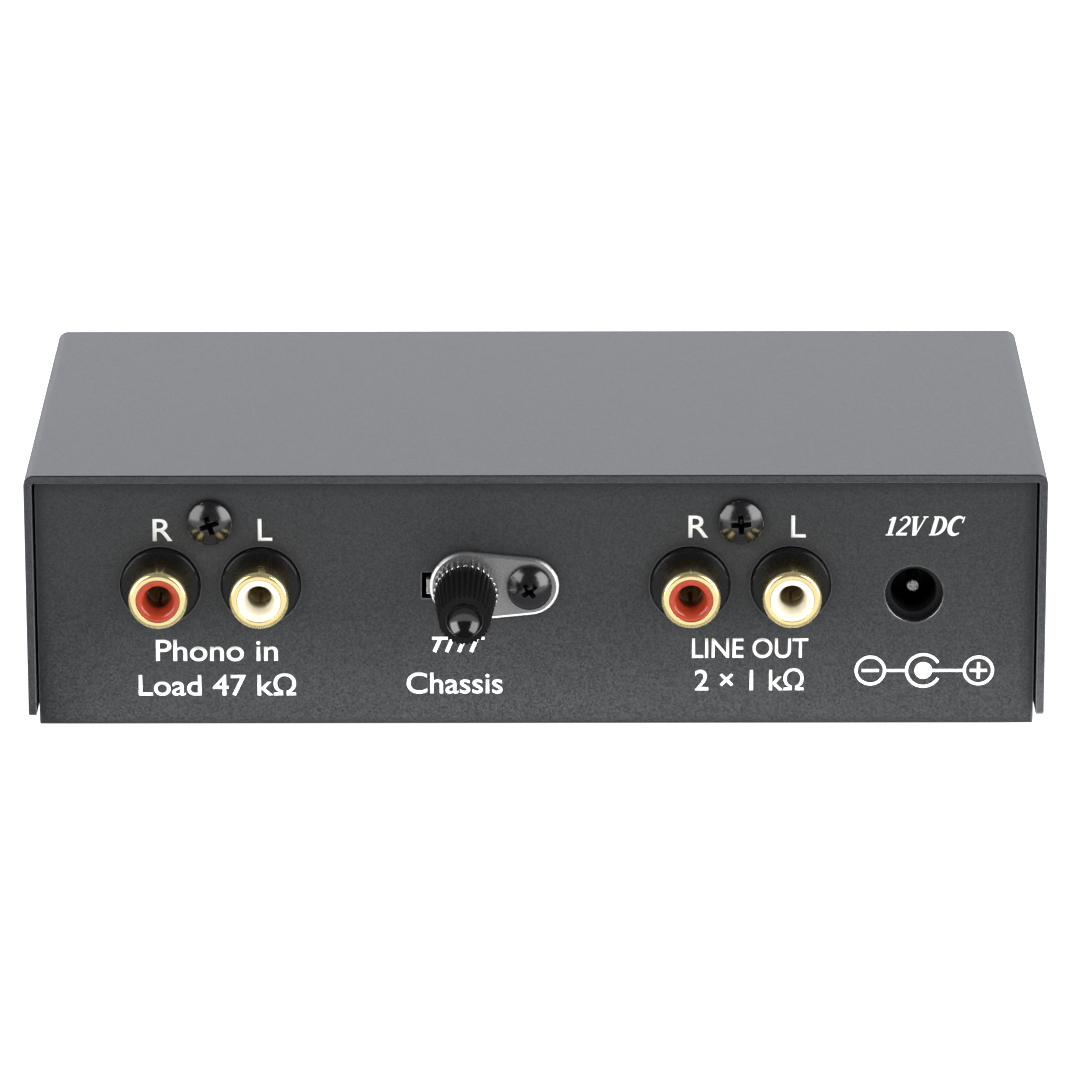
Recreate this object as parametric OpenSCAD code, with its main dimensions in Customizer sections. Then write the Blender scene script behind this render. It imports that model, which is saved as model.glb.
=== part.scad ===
// Desktop phono preamp: a small steel case, two pairs of phono sockets, a ground terminal and a DC socket.
// Millimetres. +Z is up, the sockets face -Y, and the origin is under the middle of the whole part.

/* [Case] */
// Width over the outer faces of the cover's two sides
cover_w = 142; // [138:0.5:170]
// Depth of the cover, from its front edge to its back edge
cover_d = 74.5; // [72:0.5:100]
// Height from the underside of the chassis to the top of the cover
case_h = 37.1; // [36.4:0.1:50]
// Thickness of the painted steel sheet
sheet = 1.15; // [0.8:0.05:1.2]
// Outer radius of the bends in the cover
cover_bend_r = 1.5; // [1.4:0.1:3]
// Radius of the rounded corners at the lower ends of the cover's sides
cover_corner_r = 0.6; // [0.3:0.1:1.5]
// Outer radius of the bends in the chassis
chassis_bend_r = 1.5; // [1.4:0.1:2.4]
// How far the cover reaches past each panel
overhang = 1.5; // [1:0.1:3]
// Gap between a panel's edge and the side of the cover
side_gap = 0.3; // [0.2:0.05:0.8]
// Gap between a panel's upper edge and the top of the cover
top_gap = 0.3; // [0.2:0.05:0.8]
// Height of the cover's lower edges above the underside of the chassis
side_lift = 2; // [1:0.1:3]

/* [Case screws and feet] */
// Height of the cover screws above the underside of the chassis
cover_screw_z = 8; // [7:0.1:9]
// Distance between the two cover screws on a side
cover_screw_pitch = 44; // [30:1:48]
// Diameter of the cover screws' countersunk heads
cover_screw_head_d = 5.5; // [5:0.1:6]
// Diameter of the rubber feet
foot_d = 9; // [6:0.5:10]
// Height of the rubber feet
foot_h = 2; // [1.9:0.1:4]
// Distance from the chassis side to the middle of a foot
foot_inset_x = 16; // [14.5:0.5:24]
// Distance from a panel to the middle of a foot
foot_inset_y = 12; // [8:0.5:16]

/* [Circuit board] */
// Height of the hexagonal standoffs under the board
standoff_h = 9.8; // [9.2:0.1:10]
// Width of the standoffs across their flats
standoff_af = 5.5; // [5:0.1:6]
// Thickness of the board
board_t = 1.6; // [1.2:0.1:1.7]
// Gap between the board's ends and the chassis flanges
board_gap_x = 2; // [1.5:0.1:3]
// Gap between the board and each panel
board_gap_y = 0.6; // [0.4:0.1:1]
// Radius of the component leads
lead_r = 0.3; // [0.25:0.01:0.35]

/* [Phono sockets] */
// Middle of the input pair, from the cover's left side
input_inset = 25.7; // [20:0.1:28]
// Middle of the output pair, from the cover's right side
output_inset = 42.5; // [40:0.1:45]
// Distance between the two sockets of a pair
socket_pitch = 14; // [13:0.1:15]
// Height of the sockets above the underside of the chassis
socket_z = 20.7; // [19.9:0.1:21.2]
// Outside diameter of the plated shell that a plug slides over
shell_d = 8.2; // [8:0.05:8.6]
// Wall of the plated shell
shell_wall = 1.05; // [0.8:0.05:1.2]
// How far the shell stands out of the panel
shell_reach = 7.4; // [6:0.1:10]
// Radius of the shell's rolled front lip
shell_lip_r = 0.65; // [0.3:0.05:0.75]
// Diameter of the round boss that passes through the panel
boss_d = 11; // [10.2:0.1:12]
// How far the boss stands out of the panel
boss_reach = 1; // [0.5:0.1:1.6]
// Diameter of the hole that takes the plug's middle pin
socket_hole_d = 3.3; // [3.2:0.05:3.6]
// Depth of the funnel round that hole
funnel_depth = 2; // [1:0.1:3]
// Width of the flat ring round that funnel
insert_rim = 0.85; // [0.2:0.05:0.9]
// How far the insert's face lies behind the shell's lip
insert_setback = 0.05; // [0:0.05:1]
// Depth of the moulded block behind the panel
block_d = 11; // [10:0.5:13]
// Depth of the block's fixing screw below the top of the cover
socket_screw_drop = 7.1; // [6.6:0.1:8]
// Diameter of that screw's head
socket_screw_head_d = 6.4; // [5.6:0.1:6.6]

/* [DC socket] */
// Middle of the DC socket, from the cover's right side
dc_inset = 18.3; // [17:0.1:20]
// Height of the DC socket above the underside of the chassis
dc_z = 19.3; // [18.6:0.1:19.9]
// Diameter of the hole in the panel
dc_hole_d = 8; // [7.4:0.1:9]
// Diameter of the socket's own hole
dc_bore_d = 6.4; // [5.8:0.1:6.6]
// Diameter of the middle pin
dc_pin_d = 1.9; // [1.8:0.05:2.5]
// How far the socket's face lies behind the front of the panel
dc_setback = 1.9; // [1.5:0.1:2.5]
// How far the pin's tip lies behind the front of the panel
dc_pin_setback = 3.9; // [3.5:0.1:5]

/* [Ground terminal] */
// Middle of the threaded post, from the middle of the panel
ground_x = -9.75; // [-16:0.05:-6]
// Height of the terminal above the underside of the chassis
ground_z = 20.7; // [19.9:0.1:24.4]
// Distance from the post to the plate's fixing screw
plate_pitch = 8.85; // [8.5:0.05:11]
// Radius of the plate round the post
plate_big_r = 5; // [4.6:0.1:5.6]
// Radius of the plate round its fixing screw
plate_small_r = 4.1; // [3.4:0.1:4.4]
// Thickness of the plate
plate_t = 0.9; // [0.6:0.1:1.2]
// Width of the tab that stops the plate from turning
tab_w = 2.1; // [1.8:0.1:3.6]
// Diameter of the post
post_d = 4; // [3.5:0.1:4.2]
// How far the post stands out of the panel
post_reach = 10; // [9:0.1:11]
// Thickness of the lock washer
washer_t = 0.8; // [0.5:0.1:1]
// Length of the nut's knurled metal part
nut_base_l = 3.3; // [2.5:0.1:4]
// Diameter over the ridges of the nut's metal part
nut_base_d = 8.4; // [7.6:0.1:8.6]
// Length of the nut's plastic knob
knob_l = 11; // [10:0.1:13]
// Diameter of the knob at its rear end
knob_rear_d = 8.7; // [8.2:0.1:9.2]
// Diameter of the knob at its front end
knob_front_d = 7.1; // [6.4:0.1:7.6]
// Number of ridges round the knob and the nut
knob_ridges = 32; // [24:1:36]
// Diameter of the dish in the knob's front end
dish_d = 5.1; // [4:0.1:5.4]
// Depth of that dish
dish_depth = 0.8; // [0.4:0.1:1.2]

/* [Power light] */
// Middle of the power light on the plain panel, from the cover's left side
light_inset = 21; // [15:0.5:27]
// Height of the power light above the underside of the chassis
light_z = 19.2; // [17.9:0.1:24.4]
// Diameter of the light's lens
light_d = 3; // [2.8:0.1:3.4]

/* [Clearances] */
// Clearance round pieces that sit in each other
fit = 0.05; // [0.04:0.01:0.08]
// Clearance round screws and leads in their holes
hole_gap = 0.15; // [0.1:0.01:0.25]
// Running clearance of the nut and the washer on the post
run = 0.05; // [0.03:0.01:0.08]

/* [Hidden] */
$fn = 48;

// Case
chassis_w = cover_w - 2 * (sheet + side_gap);
chassis_d = cover_d - 2 * overhang;
panel_h = case_h - sheet - top_gap;
input_x = input_inset - cover_w / 2;
output_x = cover_w / 2 - output_inset;
dc_x = cover_w / 2 - dc_inset;
light_x = light_inset - cover_w / 2;
knob_reach = plate_t + washer_t + nut_base_l + knob_l;
panel_y = (knob_reach - chassis_d - overhang) / 2;
flange_end_gap = 6;
flange_h = cover_screw_z + 4;
relief = 1;
notch_spare = 0.5;
foot_taper = 0.4;
screw_spare = 1.4;
cover_screw_l = sheet + side_gap + sheet + screw_spare;
cover_screw_r = 1.25;
countersink_h = cover_screw_head_d / 2 - cover_screw_r;

// Machine screws and nuts
m3_r = 1.5;
m3_head_r = 2.75;
m3_head_h = 1.6;
m3_nut_af = 5.5;
m3_nut_h = 2.4;
recess_t = 0.8;
recess_share = 0.55;
recess_floor = 0.35;
dome_share = 0.6;

// Circuit board
board_z = sheet + standoff_h;
board_top = board_z + board_t;
board_w = chassis_w - 2 * (sheet + board_gap_x);
board_front = sheet + board_gap_y;
board_back = chassis_d - sheet - board_gap_y;
block_back = sheet + block_d;
board_mid = (block_back + board_back) / 2;
lead_end = board_z - 1.5;
lead_inset = 0.5;
standoff_inset = 4.5;
standoff_x = board_w / 2 - standoff_inset;
standoff_ys = [block_back + 6, board_back - standoff_inset];
standoff_bore_r = m3_r - 0.2;
standoff_screw_l = 0.4 * standoff_h;

// Phono sockets
socket_xs = [input_x - socket_pitch / 2, input_x + socket_pitch / 2,
    output_x - socket_pitch / 2, output_x + socket_pitch / 2];
shell_r = shell_d / 2;
insert_r = shell_r - shell_wall - fit;
block_edge = 0.5;
block_w = socket_pitch + boss_d + 2 * block_edge;
socket_screw_z = case_h - socket_screw_drop;
block_top = socket_screw_z + socket_screw_head_d / 2 + block_edge;
boss_edge_r = 0.4;
boss_root = 1;
shell_root = 6;
shell_step = 0.25;
shell_root_r = shell_r - shell_step;
shell_tail_w = 2;
shell_tail_t = 0.6;
shell_tail_y = shell_root - shell_tail_t / 2;
shell_tail_top = socket_z - shell_root_r + 0.4;
insert_back_gap = 0.5;
contact_r = socket_hole_d / 2 + 0.3;
contact_wall = 0.35;
contact_setback = 3.2;
contact_tail_w = 1.2;
contact_tail_t = 0.4;
contact_tail_y = block_back + 0.4;
contact_front = shell_reach - insert_setback - funnel_depth - contact_setback;
contact_back = block_back - 2;
contact_end_t = 0.6;
contact_slot_w = 0.5;
contact_slot_l = 5;
socket_screw_r = 1.4;
socket_screw_l = 8;
socket_screw_head_h = 2.1;

// DC socket
dc_body_w = 9;
dc_body_d = 12.5;
dc_body_top = dc_z + dc_bore_d / 2 + 1.4;
dc_back = dc_setback + dc_body_d;
dc_bore_depth = 9.5;
dc_pin_edge_r = 0.3;
dc_tail_t = 0.5;
dc_tail_w = 1.6;
dc_spring_t = 0.3;
dc_spring_w = 2;
dc_spring_y = dc_setback + 3;
dc_spring_l = 5;
dc_spring_play = 0.2;
dc_spring_z = dc_z - dc_bore_d / 2 - dc_spring_t - 0.1;

// Ground terminal
post_r = post_d / 2;
post_head_af = 7;
post_head_h = 2.5;
post_inset = 0.5;
strap_t = 0.5;
strap_w = 4;
strap_ring_r = 4;
strap_foot = 3;
tab_reach = 0.45;
slot_w = 2;
slot_h = tab_w + 1.7;
slot_left = plate_big_r + 1.15;
tab_end = sheet + 1.2;
plate_rim = 0.35;
plate_rim_h = 0.3;
tab_t = plate_t - plate_rim_h;
plate_screw_head_d = 6.3;
plate_screw_head_h = 2.1;
washer_r = 4.1;
washer_teeth = 14;
washer_tooth_h = 0.7;
nut_neck_r = 3;
knob_end_t = 3;
nut_neck_l = knob_l - knob_end_t;
nut_bore_end = nut_neck_l - 0.6;
ridge_depth = 0.3;
knob_edge_r = 0.3;

// Power light
holder_r = light_d / 2 + 1.6;
holder_wall = 0.8;
holder_lip_h = 0.7;
holder_l = 3.4;
light_flange_r = light_d / 2 + 0.35;
light_flange_h = 1;
light_reach = overhang - 0.2;
light_l = 3.5;
light_lead_y = chassis_d - sheet - light_l - 2.9;
light_lead_pitch = 2.54;
light_lead_inset = 0.2;

// Components: places are [columns, rows] from the middle of the free part of the board
column = board_w / 52;
row = (board_back - block_back) / 22;
pin_pitch = 2.54;
chip_columns = [-6, 4.5];
chip_w = 6.4;
chip_l = 9.6;
chip_h = 3.3;
chip_rows = 7.62;
chip_socket_h = 4;
chip_leg_w = 1.2;
chip_leg_t = 0.3;
chip_leg_l = 2;
chip_mark_r = 1;
chip_mark_depth = 0.8;
chip_frame_w = 1.2;
supply_cap_at = [[15.5, -1], [15.5, 4.5]];
supply_cap_r = 5;
supply_cap_h = 16;
supply_cap_pitch = 5;
small_cap_at = [[-14, -4.5], [-14, 4.5], [-0.5, -4.5], [-0.5, 4.5], [10.5, -5.5], [10.5, 6]];
small_cap_r = 3.15;
small_cap_h = 11;
small_cap_pitch = 2.5;
crimp_r = 0.35;
crimp_z = 1.4;
vent_share = 0.8;
vent_depth = 0.3;
film_cap_at = [for (x = [-10, -3.5, 2.75, 6.25], side = [-1, 1]) [x, side * 4.5]];
film_cap_size = [2.6, 7.2, 6.5];
film_cap_pitch = 5;
ceramic_cap_at = [[-20.25, -3], [-20.25, 3], [-1.5, 0], [9.5, 1]];
ceramic_cap_r = 2.6;
ceramic_cap_t = 1.8;
ceramic_cap_pitch = 5;
ceramic_cap_lift = 0.6;
resistor_at = [for (x = [-18, -16.5, -12, -8.5, -5, 1.5, 8], side = [-1, 1]) [x, side * 5.5]];
resistor_r = 1.15;
resistor_l = 6.3;
resistor_pitch = 10.16;
regulator_at = [20.5, 5.5];
regulator_r = 2.4;
regulator_flat = 1.3;
regulator_h = 4.8;
regulator_lift = 2;
regulator_pitch = 1.9;
diode_at = [21.5, 0];
diode_r = 1.35;
diode_l = 5;

// Moves what is drawn in the panel's frame into the part's frame. In the panel's frame x is along the
// panel, y runs back from its front face, and z is up from the underside of the chassis.
module placed() {
    translate([0, panel_y, foot_h]) children();
}

// Turns a shape drawn along +Z so that it stands out of the socket panel.
module on_panel(x, z) {
    translate([x, 0, z]) rotate([90, 0, 0]) children();
}

// Turns a shape drawn along +Z so that it stands out of the plain panel.
module on_back_panel(x, z) {
    translate([x, chassis_d, z]) rotate([-90, 0, 0]) children();
}

// A cylinder between two heights.
module post(r, low, high) {
    translate([0, 0, low]) cylinder(h = high - low, r = r);
}

// A tube between two heights.
module tube(r, inner_r, low, high) {
    difference() {
        post(r, low, high);
        post(inner_r, low - 1, high + 1);
    }
}

// A hexagonal prism with a round hole through it.
module hex_nut(af, h, hole_r) {
    difference() {
        cylinder(h = h, r = af / sqrt(3), $fn = 6);
        translate([0, 0, -1]) cylinder(h = h + 2, r = hole_r);
    }
}

// The outline of a bent channel, open at the top, with its lower left corner at the origin.
module channel_outline(width, height, bend_r) {
    difference() {
        channel_block(width, height, bend_r);
        translate([sheet, sheet]) channel_block(width - 2 * sheet, height, bend_r - sheet);
    }
}

// A rectangle with its two lower corners rounded.
module channel_block(width, height, r) {
    difference() {
        square([width, height]);
        for (side = [0, 1]) {
            translate([side * width, 0]) mirror([side, 0]) difference() {
                square(r);
                translate([r, r]) circle(r);
            }
        }
    }
}

// A pan head on the plane z = 0 with a cross recess, and its shank below.
module pan_screw(head_r, head_h, shank_r, shank_l) {
    dome = head_h * dome_share;
    dome_r = (head_r * head_r + dome * dome) / (2 * dome);
    difference() {
        union() {
            intersection() {
                cylinder(h = head_h, r = head_r);
                translate([0, 0, head_h - dome_r]) sphere(dome_r);
            }
            post(shank_r, -shank_l, head_h / 2);
        }
        for (turn = [0, 90]) {
            rotate([0, 0, turn]) translate([-head_r * recess_share, -recess_t / 2, head_h * recess_floor])
                cube([2 * head_r * recess_share, recess_t, head_h]);
        }
    }
}

// A countersunk head whose flat top lies on the plane z = 0, with its shank below.
module flat_screw(head_r, shank_r, length) {
    head_h = head_r - shank_r;
    difference() {
        union() {
            translate([0, 0, -head_h]) cylinder(h = head_h, r1 = shank_r, r2 = head_r);
            post(shank_r, -length, -head_h / 2);
        }
        for (turn = [0, 90]) {
            rotate([0, 0, turn]) translate([-head_r * recess_share, -recess_t / 2, -head_h * dome_share])
                cube([2 * head_r * recess_share, recess_t, head_h]);
        }
    }
}

// Two places on each side of the cover, seen from outside: children are drawn along +Z out of the cover.
module at_cover_screws() {
    for (side = [-1, 1], end = [-1, 1]) {
        translate([side * cover_w / 2, chassis_d / 2 + end * cover_screw_pitch / 2, cover_screw_z])
            rotate([0, side * 90, 0]) children();
    }
}

// The four corners that carry the board.
module at_standoffs() {
    for (side = [-1, 1], y = standoff_ys) translate([side * standoff_x, y, 0]) children();
}

// The room for a countersunk head, below the plane z = 0.
module countersink() {
    translate([0, 0, -countersink_h]) cylinder(h = countersink_h + fit, r1 = cover_screw_r + 2 * fit,
        r2 = cover_screw_head_d / 2 + 3 * fit);
}

// A bent cover of one sheet: a top with two sides, and a countersunk hole for each screw.
module cover() {
    color("dimgray") placed() difference() {
        translate([-cover_w / 2, cover_d - overhang, case_h]) rotate([90, 0, 0]) mirror([0, 1, 0])
            linear_extrude(cover_d) channel_outline(cover_w, case_h - side_lift, cover_bend_r);
        for (end = [-1, 1]) cover_corners(end);
        at_cover_screws() {
            countersink();
            post(cover_screw_r + hole_gap, -2 * sheet, 0);
        }
    }
}

// What the rounding takes off the sides' lower corners, at the cover's front (-1) or back (1) edge.
module cover_corners(end) {
    translate([0, chassis_d / 2 + end * (cover_d / 2 - cover_corner_r), side_lift + cover_corner_r])
        rotate([90, 0, 90]) linear_extrude(cover_w + 2, center = true) difference() {
            translate([end < 0 ? -cover_corner_r - 1 : 0, -cover_corner_r - 1]) square(cover_corner_r + 1);
            circle(cover_corner_r);
        }
}

module chassis() {
    color("dimgray") placed() difference() {
        union() {
            difference() {
                rotate([90, 0, 90]) linear_extrude(chassis_w, center = true)
                    channel_outline(chassis_d, panel_h, chassis_bend_r);
                for (side = [-1, 1]) flange_notch(side);
            }
            chassis_flanges();
        }
        panel_holes();
        at_cover_screws() {
            countersink();
            post(cover_screw_r + fit, -sheet - side_gap - 2 * sheet, 1);
        }
        at_standoffs() post(m3_r + hole_gap, -1, sheet + 1);
        on_back_panel(light_x, light_z) post(holder_r - holder_wall + hole_gap, -2 * sheet, sheet);
    }
}

// The bend relief cut out of the base where a side flange is folded up.
module flange_notch(side) {
    depth = chassis_bend_r + notch_spare;
    translate([side * (chassis_w / 2 - depth / 2), chassis_d / 2, sheet / 2])
        cube([depth + 0.01, chassis_d - 2 * (flange_end_gap - relief), 2 * sheet], center = true);
}

// The two flanges that the cover screws on to, with the strip of base between them.
module chassis_flanges() {
    translate([-chassis_w / 2, chassis_d - flange_end_gap, 0]) rotate([90, 0, 0])
        linear_extrude(chassis_d - 2 * flange_end_gap) channel_outline(chassis_w, flange_h, chassis_bend_r);
}

// Every hole in the socket panel.
module panel_holes() {
    through = 2 * sheet;
    for (x = socket_xs) on_panel(x, socket_z) post(boss_d / 2 + hole_gap, -through, sheet);
    for (x = [input_x, output_x]) {
        on_panel(x, socket_screw_z) post(socket_screw_r + hole_gap, -through, sheet);
    }
    on_panel(dc_x, dc_z) post(dc_hole_d / 2, -through, sheet);
    on_panel(ground_x, ground_z) {
        post(post_r + hole_gap, -through, sheet);
        translate([plate_pitch, 0, 0]) post(m3_r + hole_gap, -through, sheet);
        translate([-slot_left, -slot_h / 2, -through]) cube([slot_w, slot_h, 2 * through]);
    }
}

module cover_screws() {
    color("black") placed() at_cover_screws()
        flat_screw(cover_screw_head_d / 2, cover_screw_r, cover_screw_l);
}

module feet() {
    color("#202020") for (side = [-1, 1], y = [foot_inset_y, chassis_d - foot_inset_y]) {
        translate([side * (chassis_w / 2 - foot_inset_x), panel_y + y, 0])
            cylinder(h = foot_h, r1 = foot_d / 2 - foot_taper, r2 = foot_d / 2);
    }
}

// The board, drilled for each lead that passes through it.
module circuit_board() {
    color("darkgreen") placed() difference() {
        translate([-board_w / 2, board_front, board_z]) cube([board_w, board_back - board_front, board_t]);
        at_standoffs() board_hole(m3_r);
        for (x = socket_xs) {
            translate([x, contact_tail_y + contact_tail_t / 2, 0]) board_hole(contact_tail_w / 2);
            translate([x, shell_tail_y, 0]) board_hole(shell_tail_w / 2);
        }
        translate([dc_x, dc_back + dc_tail_t, 0]) board_hole(dc_tail_w / 2);
        translate([dc_x, dc_spring_y + dc_spring_l, 0]) board_hole(dc_spring_w / 2);
        translate([ground_x, sheet + strap_foot, 0]) board_hole(lead_r);
        for (side = [-1, 1]) translate([light_x + side * light_lead_pitch / 2, light_lead_y, 0])
            board_hole(lead_r);
        at_leads(small_cap_at, small_cap_pitch, 0) board_hole(lead_r);
        at_leads(supply_cap_at, supply_cap_pitch, 0) board_hole(lead_r);
        at_leads(film_cap_at, film_cap_pitch, 90) board_hole(lead_r);
        at_leads(ceramic_cap_at, ceramic_cap_pitch, 90) board_hole(lead_r);
        at_leads(resistor_at, resistor_pitch, 90) board_hole(lead_r);
        at_leads([diode_at], resistor_pitch, 90) board_hole(lead_r);
        at_chip_pins() board_hole(lead_r);
        at_regulator_leads() board_hole(lead_r);
    }
}

module board_hole(r) {
    post(r + hole_gap, board_z - 1, board_top + 1);
}

// The places of a component's two leads, for a list of components.
module at_leads(places, pitch, turn) {
    at_places(places) rotate([0, 0, turn]) {
        for (end = [-1, 1]) translate([end * pitch / 2, 0, 0]) children();
    }
}

// The places of the eight pins of each chip, turned so that +Y points to the middle of the chip.
module at_chip_pins() {
    for (x = chip_columns, i = [-1.5:1.5], turn = [0, 180]) {
        translate([x * column + i * pin_pitch, board_mid, 0]) rotate([0, 0, turn])
            translate([0, -chip_rows / 2, 0]) children();
    }
}

module at_regulator_leads() {
    for (i = [-1, 0, 1]) at_places([regulator_at]) translate([i * regulator_pitch, 0, 0]) children();
}

module board_standoffs() {
    color("goldenrod") placed() at_standoffs() translate([0, 0, sheet])
        hex_nut(standoff_af, standoff_h, standoff_bore_r + fit);
}

module board_screws() {
    color("silver") placed() at_standoffs() translate([0, 0, board_top])
        pan_screw(m3_head_r, m3_head_h, standoff_bore_r, board_t + standoff_screw_l);
}

module base_screws() {
    color("silver") placed() at_standoffs() mirror([0, 0, 1])
        pan_screw(m3_head_r, m3_head_h, standoff_bore_r, sheet + standoff_screw_l);
}

// A moulded block that carries two sockets, with a round boss through the panel for each.
module socket_block(x) {
    color("#1c1c1c") placed() difference() {
        union() {
            translate([x - block_w / 2, sheet, board_top]) cube([block_w, block_d, block_top - board_top]);
            for (side = [-1, 1]) on_panel(x + side * socket_pitch / 2, socket_z)
                translate([0, 0, -sheet - boss_root])
                    rounded_disc(boss_d / 2, sheet + boss_root + boss_reach, boss_edge_r);
        }
        for (side = [-1, 1]) translate([x + side * socket_pitch / 2, 0, 0]) {
            on_panel(0, socket_z) {
                post(shell_root_r + fit, -shell_root - fit, boss_reach + 1);
                post(insert_r + fit, -block_back - 1, 0);
            }
            translate([-shell_tail_w / 2 - fit, shell_root - shell_tail_t - fit, board_top - 1])
                cube([shell_tail_w + 2 * fit, shell_tail_t + 2 * fit, socket_z - board_top]);
        }
        on_panel(x, socket_screw_z) post(socket_screw_r + fit, -sheet - socket_screw_l, 0);
    }
}

module input_socket_block() {
    socket_block(input_x);
}

module output_socket_block() {
    socket_block(output_x);
}

// A disc from z = 0 upwards whose upper edge is rounded.
module rounded_disc(r, h, edge_r) {
    rotate_extrude() difference() {
        square([r, h]);
        translate([r - edge_r, h - edge_r]) difference() {
            square(edge_r + 1);
            circle(edge_r);
        }
    }
}

// The plated shells of one pair: a tube with a rolled lip, whose shoulder seats on the boss and whose
// narrower root goes into it, and a solder tail down to the board.
module socket_shells(x) {
    color("gold") placed() for (side = [-1, 1]) translate([x + side * socket_pitch / 2, 0, 0]) {
        on_panel(0, socket_z) rotate_extrude() difference() {
            translate([shell_r - shell_wall, -shell_root]) square([shell_wall, shell_root + shell_reach]);
            translate([shell_r - shell_lip_r, shell_reach - shell_lip_r]) difference() {
                square(shell_lip_r + 1);
                circle(shell_lip_r);
            }
            translate([shell_root_r, -shell_root - 1]) square([1, shell_root + 1 + boss_reach]);
        }
        translate([-shell_tail_w / 2, shell_root - shell_tail_t, board_top])
            cube([shell_tail_w, shell_tail_t, shell_tail_top - board_top]);
        translate([-contact_tail_w / 2, shell_root - shell_tail_t, lead_end])
            cube([contact_tail_w, shell_tail_t, board_top - lead_end + 1]);
    }
}

module input_socket_shells() {
    socket_shells(input_x);
}

module output_socket_shells() {
    socket_shells(output_x);
}

// The coloured inserts of one channel: a funnel down to the plug's hole, and a wider bore for the contact.
module socket_inserts(side) {
    face = shell_reach - insert_setback;
    throat = face - funnel_depth;
    placed() for (x = [input_x, output_x]) on_panel(x + side * socket_pitch / 2, socket_z) difference() {
        post(insert_r, -block_back + insert_back_gap, face);
        translate([0, 0, throat])
            cylinder(h = funnel_depth, r1 = socket_hole_d / 2, r2 = insert_r - insert_rim);
        post(insert_r - insert_rim, face, face + 1);
        post(socket_hole_d / 2, 0, throat + fit);
        post(contact_r + fit, -block_back - 1, contact_front + fit);
    }
}

module red_socket_inserts() {
    color("firebrick") socket_inserts(-1);
}

module white_socket_inserts() {
    color("ivory") socket_inserts(1);
}

// Slotted tubes that grip the plug's pin, each with a tail bent down to the board.
module socket_contacts() {
    tail_start = contact_back - contact_end_t / 2;
    color("khaki") placed() for (x = socket_xs) {
        on_panel(x, socket_z) {
            difference() {
                tube(contact_r, contact_r - contact_wall, -contact_back, contact_front);
                translate([-contact_slot_w / 2, -contact_r - 1, contact_front - contact_slot_l])
                    cube([contact_slot_w, 2 * contact_r + 2, contact_slot_l + 1]);
            }
            post(contact_r, -contact_back, contact_end_t - contact_back);
        }
        translate([x - contact_tail_w / 2, tail_start, socket_z - contact_tail_t / 2])
            cube([contact_tail_w, contact_tail_y + contact_tail_t - tail_start, contact_tail_t]);
        translate([x - contact_tail_w / 2, contact_tail_y, lead_end])
            cube([contact_tail_w, contact_tail_t, socket_z + contact_tail_t / 2 - lead_end]);
    }
}

module socket_block_screws() {
    color("black") placed() for (x = [input_x, output_x]) on_panel(x, socket_screw_z)
        pan_screw(socket_screw_head_d / 2, socket_screw_head_h, socket_screw_r, sheet + socket_screw_l - 1);
}

module dc_socket_body() {
    color("#1c1c1c") placed() difference() {
        translate([dc_x - dc_body_w / 2, dc_setback, board_top])
            cube([dc_body_w, dc_body_d, dc_body_top - board_top]);
        on_panel(dc_x, dc_z) {
            post(dc_bore_d / 2, -dc_setback - dc_bore_depth, 0);
            post(dc_pin_d / 2 + fit, -dc_back - 1, 0);
        }
        translate([dc_x - dc_spring_w / 2 - fit, dc_spring_y, board_top - 1])
            cube([dc_spring_w + 2 * fit, dc_spring_l + 1, dc_z - board_top]);
    }
}

// The middle pin, with its tail bent down to the board.
module dc_socket_pin() {
    color("silver") placed() {
        on_panel(dc_x, dc_z) translate([0, 0, -dc_back - dc_tail_t])
            rounded_disc(dc_pin_d / 2, dc_back + dc_tail_t - dc_pin_setback, dc_pin_edge_r);
        translate([dc_x - dc_tail_w / 2, dc_back + dc_tail_t / 2, lead_end])
            cube([dc_tail_w, dc_tail_t, dc_z - lead_end]);
    }
}

// The leaf that presses on the plug's sleeve, just below the socket's hole.
module dc_socket_spring() {
    color("khaki") placed() {
        translate([dc_x - dc_spring_w / 2, dc_spring_y + dc_spring_play, dc_spring_z])
            cube([dc_spring_w, dc_spring_l, dc_spring_t]);
        translate([dc_x - dc_tail_w / 2, dc_spring_y + dc_spring_play + dc_spring_l - dc_spring_t, lead_end])
            cube([dc_tail_w, dc_spring_t, dc_spring_z + dc_spring_t - lead_end]);
    }
}

// A teardrop plate with a bevelled rim, and a tab folded back through the panel so that it can't turn.
module ground_plate() {
    color("silver") placed() on_panel(ground_x, ground_z) difference() {
        union() {
            hull() {
                bevelled_disc(plate_big_r);
                translate([plate_pitch, 0, 0]) bevelled_disc(plate_small_r);
            }
            translate([-plate_big_r - tab_reach, -tab_w / 2, 0]) cube([plate_big_r, tab_w, tab_t]);
            translate([-plate_big_r - tab_reach, -tab_w / 2, -tab_end])
                cube([plate_t, tab_w, tab_end + tab_t]);
        }
        post(post_r + fit, -1, plate_t + 1);
        translate([plate_pitch, 0, 0]) post(m3_r + hole_gap, -1, plate_t + 1);
    }
}

module bevelled_disc(r) {
    cylinder(h = plate_t - plate_rim_h, r = r, $fn = 96);
    translate([0, 0, plate_t - plate_rim_h]) cylinder(h = plate_rim_h, r1 = r, r2 = r - plate_rim, $fn = 96);
}

// The stud, with a hexagonal head that clamps the strap inside the panel.
module ground_post() {
    color("silver") placed() on_panel(ground_x, ground_z) {
        post(post_r, -sheet - strap_t - post_inset, post_reach);
        translate([0, 0, -sheet - strap_t - post_head_h])
            cylinder(h = post_head_h, r = post_head_af / sqrt(3), $fn = 6);
    }
}

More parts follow.
